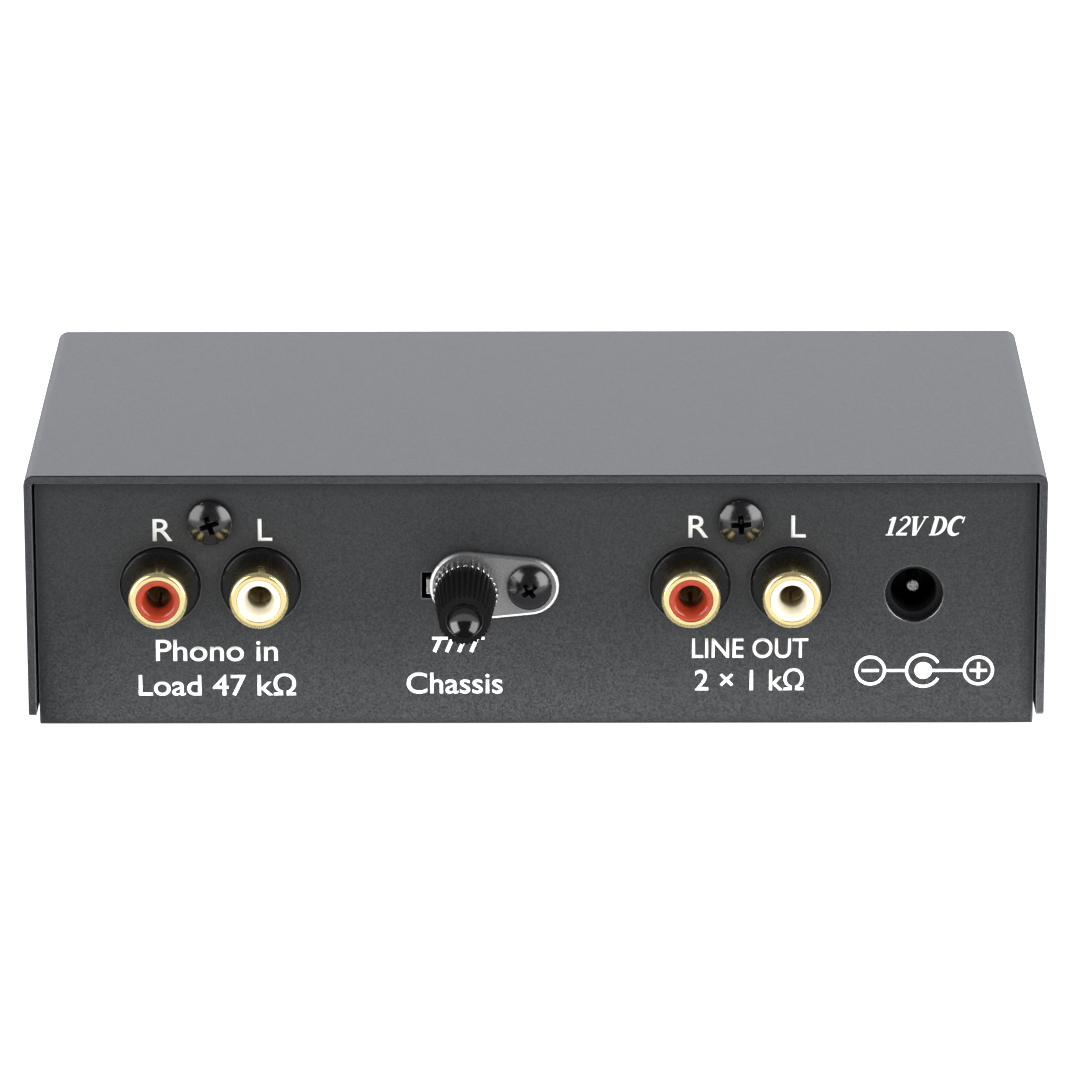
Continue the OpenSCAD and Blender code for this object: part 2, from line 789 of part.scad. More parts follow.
// The lug that joins the post to the board.
module ground_strap() {
    color("silver") placed() {
        difference() {
            union() {
                on_panel(ground_x, ground_z) post(strap_ring_r, -sheet - strap_t, -sheet);
                translate([ground_x - strap_w / 2, sheet, board_top])
                    cube([strap_w, strap_t, ground_z - board_top]);
            }
            on_panel(ground_x, ground_z) post(post_r + fit, -2 * sheet - strap_t, 0);
        }
        translate([ground_x - strap_w / 2, sheet, board_top]) cube([strap_w, strap_foot + 1, strap_t]);
        translate([ground_x, sheet + strap_foot, 0]) post(lead_r, lead_end, board_top + strap_t / 2);
    }
}

module ground_plate_screw() {
    color("black") placed() on_panel(ground_x + plate_pitch, ground_z) translate([0, 0, plate_t])
        pan_screw(plate_screw_head_d / 2, plate_screw_head_h, m3_r, plate_t + sheet + m3_nut_h + 1);
}

module ground_plate_nut() {
    color("silver") placed() on_panel(ground_x + plate_pitch, ground_z)
        translate([0, 0, -sheet - m3_nut_h]) hex_nut(m3_nut_af, m3_nut_h, m3_r + fit);
}

// A ring of ridges with pointed crests, as an outline.
module ridged_outline(r, depth, count) {
    polygon([for (i = [0:2 * count - 1])
        let (a = i * 180 / count, d = r - (i % 2) * depth) d * [cos(a), sin(a)]]);
}

module ground_lock_washer() {
    color("silver") placed() on_panel(ground_x, ground_z) translate([0, 0, plate_t]) difference() {
        linear_extrude(washer_t) ridged_outline(washer_r, washer_tooth_h, washer_teeth);
        post(post_r + run, -1, washer_t + 1);
    }
}

// The nut's metal part: a knurled base that clamps the wire, and a neck that holds the knob.
module ground_nut() {
    color("silver") placed() on_panel(ground_x, ground_z) translate([0, 0, plate_t + washer_t]) difference() {
        union() {
            linear_extrude(nut_base_l) ridged_outline(nut_base_d / 2, ridge_depth, knob_ridges);
            post(nut_neck_r, nut_base_l / 2, nut_base_l + nut_neck_l);
        }
        post(post_r + run, -1, nut_base_l + nut_bore_end);
    }
}

// The nut's plastic knob: a ridged taper with a dish in its front end, moulded round the neck.
module ground_knob() {
    lean = atan((knob_rear_d - knob_front_d) / 2 / knob_l);
    dish_r = (pow(dish_d / 2, 2) + pow(dish_depth, 2)) / (2 * dish_depth);
    color("#181818") placed() on_panel(ground_x, ground_z)
        translate([0, 0, plate_t + washer_t + nut_base_l]) difference() {
            cylinder(h = knob_l, r1 = knob_rear_d / 2, r2 = knob_front_d / 2);
            for (i = [0:knob_ridges - 1]) rotate([0, 0, i * 360 / knob_ridges])
                translate([knob_rear_d / 2 - ridge_depth, 0, 0]) rotate([0, -lean, 0]) rotate([0, 0, -45])
                    translate([0, 0, -1]) cube([1, 1, knob_l + 2]);
            post(nut_neck_r + fit, -1, nut_neck_l + fit);
            translate([0, 0, knob_l + dish_r - dish_depth]) sphere(dish_r);
        }
}

// The lens, its flange and two leads bent down to the board.
module power_light() {
    dome = light_d / 2;
    inner = sheet + light_l;
    color("lime") placed() {
        on_back_panel(light_x, light_z) {
            post(dome, -inner, light_reach - dome);
            translate([0, 0, light_reach - dome]) sphere(dome);
            post(light_flange_r, -inner, -inner + light_flange_h);
        }
        for (side = [-1, 1]) translate([light_x + side * light_lead_pitch / 2, light_lead_y, 0]) {
            post(lead_r, lead_end, light_z);
            translate([0, 0, light_z]) rotate([-90, 0, 0])
                cylinder(h = chassis_d - inner - light_lead_y + light_lead_inset, r = lead_r);
            translate([0, 0, light_z]) sphere(lead_r);
        }
    }
}

// A bezel with a lip outside the panel and a sleeve through it.
module power_light_holder() {
    color("#181818") placed() on_back_panel(light_x, light_z) difference() {
        union() {
            rounded_disc(holder_r, holder_lip_h, holder_lip_h / 2);
            post(holder_r - holder_wall, -holder_l, holder_lip_h / 2);
        }
        post(light_d / 2 + fit, -holder_l - 1, holder_lip_h + 1);
    }
}

// Eight-legged amplifier chips, pressed into their sockets.
module amplifier_chips() {
    low = board_top + chip_socket_h;
    color("#262626") placed() {
        for (x = chip_columns) translate([x * column, board_mid, low]) difference() {
            translate([-chip_l / 2, -chip_w / 2, 0]) cube([chip_l, chip_w, chip_h]);
            translate([-chip_l / 2, 0, chip_h - chip_mark_depth]) cylinder(h = chip_h, r = chip_mark_r);
        }
        at_chip_pins() chip_leg(low);
    }
}

// A chip's leg, drawn at its own pin place: the part outside the body runs down into the socket.
module chip_leg(low) {
    translate([-chip_leg_w / 2, -chip_leg_t / 2, low - chip_leg_l])
        cube([chip_leg_w, chip_leg_t, chip_leg_l + chip_h / 2]);
    translate([-chip_leg_w / 2, -chip_leg_t / 2, low + chip_h / 2 - chip_leg_t])
        cube([chip_leg_w, (chip_rows - chip_w) / 2 + chip_leg_t, chip_leg_t]);
}

// The chips' sockets: a frame with a slot for each leg and a pin under each slot.
module chip_sockets() {
    color("#303030") placed() {
        difference() {
            chip_socket_block(chip_l, chip_rows + 2 * chip_frame_w, 0);
            chip_socket_block(chip_l - 2 * chip_frame_w, chip_rows - 2 * chip_frame_w, 1);
            at_chip_pins() translate([0, 0, board_top + chip_socket_h - chip_leg_l / 2 + 1 - hole_gap])
                cube([chip_leg_w + 2 * hole_gap, chip_leg_t + 2 * hole_gap, chip_leg_l + 2], center = true);
        }
        at_chip_pins() post(lead_r, lead_end, board_top + 1);
    }
}

// A block on the board under each chip, as high as the socket with some spare height above and below.
module chip_socket_block(length, depth, spare) {
    for (x = chip_columns) translate([x * column - length / 2, board_mid - depth / 2, board_top - spare])
        cube([length, depth, chip_socket_h + 2 * spare]);
}

// An upright can with a crimp near its foot, and two leads.
module can_capacitor(r, h, pitch) {
    translate([0, 0, board_top]) rotate_extrude() difference() {
        square([r, h]);
        translate([r, crimp_z]) circle(crimp_r);
        translate([0, h - vent_depth]) square([r * vent_share, 2 * vent_depth]);
    }
    for (side = [-1, 1]) translate([side * pitch / 2, 0, 0]) post(lead_r, lead_end, board_top + lead_inset);
}

module at_places(places) {
    for (place = places) translate([place[0] * column, board_mid + place[1] * row, 0]) children();
}

module supply_capacitors() {
    color("#203050") placed() at_places(supply_cap_at)
        can_capacitor(supply_cap_r, supply_cap_h, supply_cap_pitch);
}

module coupling_capacitors() {
    color("#204030") placed() at_places(small_cap_at)
        can_capacitor(small_cap_r, small_cap_h, small_cap_pitch);
}

// Boxed film capacitors of the equaliser network.
module film_capacitors() {
    color("firebrick") placed() {
        at_places(film_cap_at) translate([-film_cap_size[0] / 2, -film_cap_size[1] / 2, board_top])
            cube(film_cap_size);
        at_leads(film_cap_at, film_cap_pitch, 90) post(lead_r, lead_end, board_top + lead_inset);
    }
}

// Ceramic discs on edge, with leads that leave their rims and run down.
module ceramic_capacitors() {
    color("orange") placed() {
        at_places(ceramic_cap_at) {
            translate([0, 0, board_top + ceramic_cap_r + ceramic_cap_lift]) rotate([0, 90, 0])
                cylinder(h = ceramic_cap_t, r = ceramic_cap_r, center = true);
            for (end = [-1, 1]) translate([0, end * ceramic_cap_pitch / 2, 0])
                post(lead_r, lead_end, board_top + ceramic_cap_r + ceramic_cap_lift);
        }
    }
}

// An axial part lying along y: a round body with its two leads bent down through the board.
module axial_part(r, length, pitch) {
    axis_z = board_top + r + 0.1;
    translate([0, 0, axis_z]) rotate([90, 0, 0]) {
        cylinder(h = length, r = r, center = true);
        cylinder(h = pitch, r = lead_r, center = true);
    }
    for (end = [-1, 1]) translate([0, end * pitch / 2, 0]) {
        post(lead_r, lead_end, axis_z);
        translate([0, 0, axis_z]) sphere(lead_r);
    }
}

module resistors() {
    color("#6090c0") placed() at_places(resistor_at) axial_part(resistor_r, resistor_l, resistor_pitch);
}

module supply_diode() {
    color("#202020") placed() at_places([diode_at]) axial_part(diode_r, diode_l, resistor_pitch);
}

// A small round-backed regulator on three leads.
module voltage_regulator() {
    low = board_top + regulator_lift;
    color("#262626") placed() {
        at_places([regulator_at]) intersection() {
            post(regulator_r, low, low + regulator_h);
            translate([-regulator_r, -regulator_flat, low - 1])
                cube([2 * regulator_r, 2 * regulator_r, regulator_h + 2]);
        }
        at_regulator_leads() post(lead_r, lead_end, low + lead_inset);
    }
}

cover();
chassis();
cover_screws();
feet();
circuit_board();
board_standoffs();
board_screws();
base_screws();
input_socket_block();
output_socket_block();
input_socket_shells();
output_socket_shells();
red_socket_inserts();
white_socket_inserts();
socket_contacts();
socket_block_screws();
dc_socket_body();
dc_socket_pin();
dc_socket_spring();
ground_plate();
ground_post();
ground_strap();
ground_plate_screw();
ground_plate_nut();
ground_lock_washer();
ground_nut();
ground_knob();
power_light();
power_light_holder();
amplifier_chips();
chip_sockets();
supply_capacitors();
coupling_capacitors();
film_capacitors();
ceramic_capacitors();
resistors();
voltage_regulator();
supply_diode();
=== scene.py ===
import math

import bmesh
import bpy
from mathutils import Matrix, Quaternion, Vector


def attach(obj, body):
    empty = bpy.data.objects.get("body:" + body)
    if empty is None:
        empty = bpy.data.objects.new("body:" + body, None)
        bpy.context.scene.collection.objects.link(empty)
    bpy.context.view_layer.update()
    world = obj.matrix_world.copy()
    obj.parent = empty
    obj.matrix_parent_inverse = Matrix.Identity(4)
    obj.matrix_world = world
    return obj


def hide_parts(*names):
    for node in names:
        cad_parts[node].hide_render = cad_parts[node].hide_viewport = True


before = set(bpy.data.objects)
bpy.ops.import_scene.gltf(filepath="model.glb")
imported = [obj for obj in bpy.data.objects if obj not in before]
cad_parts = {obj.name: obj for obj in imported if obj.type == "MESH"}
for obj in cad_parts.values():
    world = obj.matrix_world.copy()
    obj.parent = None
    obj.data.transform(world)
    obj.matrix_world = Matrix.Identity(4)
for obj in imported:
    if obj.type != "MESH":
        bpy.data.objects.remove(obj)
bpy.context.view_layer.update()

MM = 0.001

# ---- Camera -------------------------------------------------------------------------------------
# A long lens stands about a metre in front of the socket panel, a little above it, and looks
# 17 degrees down. Its aim lies on the panel's front face, near the middle.
PANEL_Y = -28.5 * MM
AIM = Vector((0.45 * MM, PANEL_Y, 29.43 * MM))
DISTANCE = 986.5 * MM
look_down, look_aside, tilt = (math.radians(degrees) for degrees in (17.27, 0.166, -0.127))

lens_data = bpy.data.cameras.new("camera")
lens_data.sensor_width = 36.0
lens_data.lens = 237.0
lens_data.clip_start, lens_data.clip_end = 0.05, 20.0
camera = bpy.data.objects.new("camera", lens_data)
bpy.context.scene.collection.objects.link(camera)
bpy.context.scene.camera = camera
bpy.context.scene.view_settings.view_transform = "Standard"
towards_camera = Vector((math.sin(look_aside) * math.cos(look_down),
                         -math.cos(look_aside) * math.cos(look_down), math.sin(look_down)))
camera.location = AIM + DISTANCE * towards_camera
camera.rotation_mode = "QUATERNION"
camera.rotation_quaternion = Quaternion(towards_camera, tilt) @ towards_camera.to_track_quat("Z", "Y")


# ---- Studio -------------------------------------------------------------------------------------
# A plain pale table in a white room. Two tall soft boxes stand at the front corners of the table and
# one hangs overhead; gloss sees a bright wall behind the case and a dark room behind the camera.
def set_or_link(tree, socket, value):
    """Gives a socket a number or a colour, or links it to another socket."""
    if isinstance(value, bpy.types.NodeSocket):
        tree.links.new(value, socket)
    else:
        socket.default_value = (*value, 1) if isinstance(value, tuple) else value


def math_node(tree, operation, *values, clamp=False):
    """The result of a Math node; each value is a number or a socket."""
    node = tree.nodes.new("ShaderNodeMath")
    node.operation, node.use_clamp = operation, clamp
    for socket, value in zip(node.inputs, values):
        set_or_link(tree, socket, value)
    return node.outputs[0]


def mixed(tree, factor, first, second):
    """The result of a Mix node between two numbers or two colours; each may be a socket."""
    node = tree.nodes.new("ShaderNodeMix")
    if tuple in (type(first), type(second)):
        node.data_type = "RGBA"
    for label, value in (("Factor", factor), ("A", first), ("B", second)):
        set_or_link(tree, node.inputs[label], value)
    return node.outputs["Result"]


def eased_range(tree, value, start, end, first, last):
    """Runs softly from a first to a last number while a value goes from start to end."""
    node = tree.nodes.new("ShaderNodeMapRange")
    node.interpolation_type = "SMOOTHSTEP"
    tree.links.new(value, node.inputs["Value"])
    for label, number in (("From Min", start), ("From Max", end), ("To Min", first), ("To Max", last)):
        node.inputs[label].default_value = number
    return node.outputs["Result"]


def emptied_tree(owner, output):
    """The emptied node tree of a material or a world, with its output node."""
    owner.use_nodes = True
    owner.node_tree.nodes.clear()
    return owner.node_tree, owner.node_tree.nodes.new(output)


table_mesh = bmesh.new()
bmesh.ops.create_grid(table_mesh, x_segments=1, y_segments=1, size=4.0)
table_data = bpy.data.meshes.new("table_top")
table_mesh.to_mesh(table_data)
table_mesh.free()
table = bpy.data.objects.new("table_top", table_data)
bpy.context.scene.collection.objects.link(table)

# The camera sees the paper burnt out to plain white. In gloss, a strip in front of the case is dim:
# painted shade that only reflections see.
PAPER, DIM_PAPER = (0.76, 0.76, 0.76), (0.20, 0.20, 0.20)
STRIP_Y, FULLY_DIM, NOT_DIM = -0.050, 0.016, 0.028
table_paper = bpy.data.materials.new("table_paper")
tree, out = emptied_tree(table_paper, "ShaderNodeOutputMaterial")
path = tree.nodes.new("ShaderNodeLightPath").outputs
place = tree.nodes.new("ShaderNodeTexCoord")
axes = tree.nodes.new("ShaderNodeSeparateXYZ")
tree.links.new(place.outputs["Object"], axes.inputs[0])
off_strip = math_node(tree, "ABSOLUTE", math_node(tree, "SUBTRACT", axes.outputs["Y"], STRIP_Y))
strip = eased_range(tree, off_strip, FULLY_DIM, NOT_DIM, 1.0, 0.0)
shaded = math_node(tree, "MULTIPLY", strip, path["Is Glossy Ray"])
paper = tree.nodes.new("ShaderNodeBsdfDiffuse")
tree.links.new(mixed(tree, shaded, PAPER, DIM_PAPER), paper.inputs["Color"])
glow = tree.nodes.new("ShaderNodeEmission")
glow.inputs["Color"].default_value = (1, 1, 1, 1)
tree.links.new(path["Is Camera Ray"], glow.inputs["Strength"])
both = tree.nodes.new("ShaderNodeAddShader")
tree.links.new(paper.outputs[0], both.inputs[0])
tree.links.new(glow.outputs[0], both.inputs[1])
tree.links.new(both.outputs[0], out.inputs["Surface"])
table_data.materials.append(table_paper)

# Gloss sees the room dim from the wall behind the case to a point above and behind the camera. The
# camera itself sees plain white, and the room's own light is a soft grey.
ROOM_TINT, DIM_SIDE = (0.955, 0.985, 1.04), (0, -0.78, 0.62)
BRIGHT_WALL, DIM_WALL, ROOM_LIGHT, PLAIN_WHITE = 2.10, 0.06, 0.30, 1.06
room = bpy.data.worlds.new("room")
bpy.context.scene.world = room
tree, out = emptied_tree(room, "ShaderNodeOutputWorld")
path = tree.nodes.new("ShaderNodeLightPath").outputs
seen = math_node(tree, "ADD", path["Is Camera Ray"], path["Is Glossy Ray"])
seen = math_node(tree, "ADD", seen, path["Is Transmission Ray"], clamp=True)
facing = tree.nodes.new("ShaderNodeTexCoord")
dim_side = tree.nodes.new("ShaderNodeVectorMath")
dim_side.operation = "DOT_PRODUCT"
dim_side.inputs[1].default_value = Vector(DIM_SIDE).normalized()
tree.links.new(facing.outputs["Generated"], dim_side.inputs[0])
in_gloss = eased_range(tree, dim_side.outputs["Value"], -0.75, 0.65, BRIGHT_WALL, DIM_WALL)
strength = mixed(tree, path["Is Camera Ray"], mixed(tree, seen, ROOM_LIGHT, in_gloss), PLAIN_WHITE)
wall = tree.nodes.new("ShaderNodeBackground")
wall.inputs["Color"].default_value = (*ROOM_TINT, 1)
tree.links.new(strength, wall.inputs["Strength"])
tree.links.new(wall.outputs[0], out.inputs["Surface"])


def soft_box(name, place, size, watts, aim=(0, 0, 0.02), in_gloss=True):
    """A rectangular lamp that shines towards a point, and may be left out of reflections."""
    lamp = bpy.data.lights.new(name, "AREA")
    lamp.shape = "RECTANGLE"
    lamp.size, lamp.size_y = size
    lamp.energy = watts
    holder = bpy.data.objects.new(name, lamp)
    bpy.context.scene.collection.objects.link(holder)
    holder.location = place
    holder.rotation_euler = (Vector(place) - Vector(aim)).to_track_quat("Z", "Y").to_euler()
    holder.visible_glossy = in_gloss
    holder.visible_camera = False


soft_box("soft_box_left", (-0.84, -0.56, 0.43), (0.78, 1.0), 9.8)
soft_box("soft_box_right", (0.84, -0.56, 0.43), (0.78, 1.0), 12.6)
soft_box("soft_box_above", (0.0, 0.25, 1.05), (1.1, 0.7), 6.0, in_gloss=False)
# A small card on the table lifts the foot of the socket panel.
soft_box("bounce_card", (0.014, -0.038, 0.002), (0.16, 0.014), 0.048, aim=(0.014, -0.026, 0.052),
         in_gloss=False)


# ---- Painted case: chassis and cover ------------------------------------------------------------
# Two bent sheets of painted steel. Both are powder coated in a fine-grained charcoal grey, which rounds
# their cut edges a little; the cover slides over the chassis and is held by screws in its sides.
def put_together(name, mesh, body, slot, material, *nodes, smooth=True):
    """Makes the piece from its bmesh: it rides on a body, and stands for the solids that it replaces.

    On a smooth piece the flat faces keep their own direction, and only the rounded edges shade smoothly.
    """
    data = bpy.data.meshes.new(name)
    mesh.to_mesh(data)
    mesh.free()
    piece = bpy.data.objects.new(name, data)
    bpy.context.scene.collection.objects.link(piece)
    if smooth:
        data.shade_smooth()
        weigh = piece.modifiers.new("even_shading", "WEIGHTED_NORMAL")
        weigh.mode, weigh.weight, weigh.keep_sharp = "FACE_AREA", 90, True
    data.materials.append(material)
    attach(piece, body)
    if nodes:
        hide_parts(*nodes)
    return piece


def merged_copy(node):
    """A bmesh of a solid whose loose triangles are joined, with its flat faces whole again."""
    mesh = bmesh.new()
    mesh.from_mesh(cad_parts[node].data)
    bmesh.ops.remove_doubles(mesh, verts=mesh.verts, dist=1e-7)
    bmesh.ops.dissolve_limit(mesh, angle_limit=math.radians(0.3), verts=mesh.verts, edges=mesh.edges)
    return mesh


def round_over(mesh, edges, radius, segments):
    """Rounds some edges. Millimetres."""
    bmesh.ops.bevel(mesh, geom=edges, offset=radius * MM, offset_type="OFFSET", segments=segments,
                    profile=0.5, affect="EDGES", clamp_overlap=True, material=-1)


def ease_edges(mesh, radius, sharper_than=40, segments=2):
    """Rounds the edges that turn by more than an angle in degrees. Millimetres."""
    turn = math.radians(sharper_than)
    sharp = [e for e in mesh.edges if e.is_manifold and e.calc_face_angle(0) > turn]
    round_over(mesh, sharp, radius, segments)


def off_axis(point, x, z):
    """How far a point lies from a line along Y. Millimetres."""
    return math.hypot(point.x / MM - x, point.z / MM - z)


def node_group(name, inputs, outputs):
    """An empty shader group with named sockets: ("Colour", "Color") or ("Size", "Float", default)."""
    group = bpy.data.node_groups.new(name, "ShaderNodeTree")
    for label, kind, *default in inputs:
        socket = group.interface.new_socket(label, in_out="INPUT", socket_type="NodeSocket" + kind)
        if default:
            socket.default_value = default[0]
    for label, kind in outputs:
        group.interface.new_socket(label, in_out="OUTPUT", socket_type="NodeSocket" + kind)
    return group, group.nodes.new("NodeGroupInput"), group.nodes.new("NodeGroupOutput")


# Grain: noise on the piece's own coordinates. Size is in millimetres.
grain_inputs = [("Size", "Float", 0.3), ("Detail", "Float", 2.0), ("Contrast", "Float", 1.0)]
grain, g_in, g_out = node_group("grain", grain_inputs, [("Value", "Float")])
where = grain.nodes.new("ShaderNodeTexCoord")
noise = grain.nodes.new("ShaderNodeTexNoise")
noise.inputs["Roughness"].default_value = 0.6
grain.links.new(where.outputs["Object"], noise.inputs["Vector"])
grain.links.new(math_node(grain, "DIVIDE", 1000.0, g_in.outputs["Size"]), noise.inputs["Scale"])
grain.links.new(g_in.outputs["Detail"], noise.inputs["Detail"])
middled = math_node(grain, "SUBTRACT", noise.outputs["Fac"], 0.5)
spread = math_node(grain, "MULTIPLY", middled, g_in.outputs["Contrast"])
grain.links.new(math_node(grain, "ADD", spread, 0.5, clamp=True), g_out.inputs["Value"])

# Edge wear and sheen: 1 on a rounded edge, 0 on a flat face. Some finishes lighten their edges by it as
# real wear, others as a painted highlight. Width is in millimetres.
FULL_WEAR_AND_SHEEN_AT = 6.0   # how soon a turn away from the flat face counts as the edge itself
wear_and_sheen_inputs = [("Width", "Float", 0.4), ("Amount", "Float", 1.0)]
edge_wear_and_sheen, g_in, g_out = node_group("edge_wear_and_sheen", wear_and_sheen_inputs, [("Mask", "Float")])
rounded = edge_wear_and_sheen.nodes.new("ShaderNodeBevel")
rounded.samples = 6
edge_wear_and_sheen.links.new(math_node(edge_wear_and_sheen, "MULTIPLY", g_in.outputs["Width"], MM), rounded.inputs["Radius"])
flat = edge_wear_and_sheen.nodes.new("ShaderNodeNewGeometry")
same = edge_wear_and_sheen.nodes.new("ShaderNodeVectorMath")
same.operation = "DOT_PRODUCT"
edge_wear_and_sheen.links.new(rounded.outputs["Normal"], same.inputs[0])
edge_wear_and_sheen.links.new(flat.outputs["Normal"], same.inputs[1])
turned_away = math_node(edge_wear_and_sheen, "SUBTRACT", 1.0, same.outputs["Value"])
bend = math_node(edge_wear_and_sheen, "MULTIPLY", turned_away, FULL_WEAR_AND_SHEEN_AT, clamp=True)
wear_and_sheen = math_node(edge_wear_and_sheen, "MULTIPLY", bend, g_in.outputs["Amount"], clamp=True)
edge_wear_and_sheen.links.new(wear_and_sheen, g_out.inputs["Mask"])

# Corner shade: 1 deep in a corner between two pieces, 0 in the open; it masks painted shade. Distance
# is in millimetres.
corner_shade_inputs = [("Distance", "Float", 2.0), ("Amount", "Float", 1.0)]
corner_shade, g_in, g_out = node_group("corner_shade", corner_shade_inputs, [("Mask", "Float")])
nearby = corner_shade.nodes.new("ShaderNodeAmbientOcclusion")
nearby.samples = 8
corner_shade.links.new(math_node(corner_shade, "MULTIPLY", g_in.outputs["Distance"], MM), nearby.inputs["Distance"])
covered = math_node(corner_shade, "SUBTRACT", 1.0, nearby.outputs["AO"])
deep = math_node(corner_shade, "MULTIPLY", covered, g_in.outputs["Amount"], clamp=True)
corner_shade.links.new(deep, g_out.inputs["Mask"])


def place_group(tree, group, **values):
    """Puts a shader group into a material with its own values, and gives its output."""
    node = tree.nodes.new("ShaderNodeGroup")
    node.node_tree = group
    for label, value in values.items():
        node.inputs[label].default_value = value
    return node.outputs[0]


def new_finish(name, **sockets):
    """A material with one Principled BSDF, whose plain values are set on its own sockets."""
    finish = bpy.data.materials.new(name)
    finish.use_nodes = True
    shader = finish.node_tree.nodes["Principled BSDF"]
    for label, value in sockets.items():
        shader.inputs[label.replace("_", " ")].default_value = value
    return finish, finish.node_tree, shader


def add_relief(tree, shader, height, depth, strength):
    """Bump from a height of 0 to 1, depth in millimetres."""
    bump = tree.nodes.new("ShaderNodeBump")
    bump.inputs["Strength"].default_value = strength
    bump.inputs["Distance"].default_value = depth * MM
    tree.links.new(height, bump.inputs["Height"])
    tree.links.new(bump.outputs["Normal"], shader.inputs["Normal"])


def grained(name, low, high, rough, size=0.3, depth=0.006, contrast=1.4, edges=None, **sockets):
    """A finish whose colour, roughness and relief all follow one grain; edges is (colour, width, amount)."""
    finish, tree, shader = new_finish(name, **sockets)
    tone = place_group(tree, grain, Size=size, Detail=3.0, Contrast=contrast)
    colour = mixed(tree, tone, low, high)
    if edges:
        lighter, width, amount = edges
        colour = mixed(tree, place_group(tree, edge_wear_and_sheen, Width=width, Amount=amount), colour, lighter)
    tree.links.new(colour, shader.inputs["Base Color"])
    tree.links.new(mixed(tree, tone, *rough), shader.inputs["Roughness"])
    add_relief(tree, shader, tone, depth, 0.5)
    return finish


coat = {"size": 0.26, "depth": 0.03, "contrast": 2.5}
# The paint's lighter rounded edges are partly worn paint and partly a painted highlight.
case_paint = grained("case_paint", (0.006, 0.0065, 0.0072), (0.029, 0.0312, 0.0342), (0.36, 0.48),
                     edges=((0.16, 0.163, 0.168), 0.4, 0.8), **coat)
# Painted shade: the paint is darker where other pieces stand close over it, as under the cover's lip
# and beside its side walls.
PAINTED_SHADE = (0.002, 0.002, 0.0022)
tree = case_paint.node_tree
painted_shade_mask = place_group(tree, corner_shade, Distance=2.4, Amount=1.5)
base_colour = tree.nodes["Principled BSDF"].inputs["Base Color"]
tree.links.new(mixed(tree, painted_shade_mask, base_colour.links[0].from_socket, PAINTED_SHADE), base_colour)
# Painted light and shade on the cover's cut edges: lighter flat faces, dark upper rounding, light others.
lit_cut_edge_paint = grained("lit_cut_edge_paint", (0.014, 0.0151, 0.0168), (0.044, 0.047, 0.052), (0.36, 0.48), **coat)
shaded_edge_paint = grained("shaded_edge_paint", (0.002, 0.002, 0.0023), (0.006, 0.0062, 0.0066), (0.40, 0.52),
                      Specular_IOR_Level=0.12, **coat)
lit_rounded_edge_paint = grained("lit_rounded_edge_paint", (0.05, 0.053, 0.058), (0.11, 0.117, 0.128), (0.30, 0.42), **coat)
bare_steel = grained("bare_steel", (0.26, 0.26, 0.255), (0.40, 0.40, 0.39), (0.22, 0.34), size=0.15,
                     Metallic=1.0)
sheet_finishes = [case_paint, bare_steel, lit_cut_edge_paint, shaded_edge_paint, lit_rounded_edge_paint]

DC_X, DC_Z, DC_HOLE_R = 52.7, 21.3, 4.0
PANEL_BACK_Y = -27.3
COVER_MIDDLE_Y, COVER_END = 7.25, 36.9


def sheet_finish(node, face):
    """The finish of a face of the chassis or the cover.

    The DC hole is drilled after painting, so its wall is bare. The cover's cut edges carry painted light
    and shade: their flat faces are painted lighter, the rounding along the upper edge is painted dark, and
    the other roundings are painted light as a highlight.
    """
    middle = face.calc_center_median()
    slant = abs(face.normal.y)
    if node == "cover":
        if abs(middle.y / MM - COVER_MIDDLE_Y) <= COVER_END or slant <= 0.2:
            return case_paint
        # Painted light on the flat cut faces, painted shade on the upper rounding, a painted highlight
        # below.
        if slant > 0.93:
            return lit_cut_edge_paint
        return shaded_edge_paint if face.normal.z > 0.25 else lit_rounded_edge_paint
    in_hole = off_axis(middle, DC_X, DC_Z) < DC_HOLE_R + 0.25 and middle.y / MM < PANEL_BACK_Y
    return bare_steel if in_hole and slant < 0.9 else case_paint


for node in ("chassis", "cover"):
    sheet = merged_copy(node)
    if node == "chassis":
        front = [e for e in sheet.edges if all(abs(v.co.y - PANEL_Y) < 1e-6 for v in e.verts)]
        rim = [e for e in front if all(abs(off_axis(v.co, DC_X, DC_Z) - DC_HOLE_R) < 0.01 for v in e.verts)]
        round_over(sheet, rim, 0.17, 3)
    ease_edges(sheet, 0.26, segments=3)
    for face in sheet.faces:
        face.material_index = sheet_finishes.index(sheet_finish(node, face))
    painted = put_together("painted_" + node, sheet, "case", "case_paint", case_paint, node)
    for finish in sheet_finishes[1:]:
        painted.data.materials.append(finish)


# ---- Printed legends ----------------------------------------------------------------------------
# Screen-printed white ink on the socket panel: plain words over and under the sockets, the rake of a
# chassis ground, and the rings that show which pole of the DC plug is which.
INK = 0.03 * MM
CAPITAL = 0.682   # height of a capital letter over the font's size
INK_SPREAD = 0.008   # how far the ink runs out round a letter, over the capital's height

legend_ink = grained("legend_ink", (0.66, 0.66, 0.652), (0.76, 0.76, 0.75), (0.42, 0.58), size=0.12,
                     Specular_IOR_Level=0.4)


def out_of_panel(x, z, reach=0.0):
    """Turns what is drawn flat, facing +Z, so that it faces out of the socket panel. Millimetres."""
    return Matrix.Translation((x * MM, PANEL_Y - reach * MM, z * MM)) @ Matrix.Rotation(math.pi / 2, 4, "X")


def add_body(mesh, body, place):
    """Moves a finished bmesh to its place and adds it to another."""
    bmesh.ops.transform(body, matrix=place, verts=body.verts)
    carrier = bpy.data.meshes.new("carrier")
    body.to_mesh(carrier)
    body.free()
    mesh.from_mesh(carrier)
    bpy.data.meshes.remove(carrier)


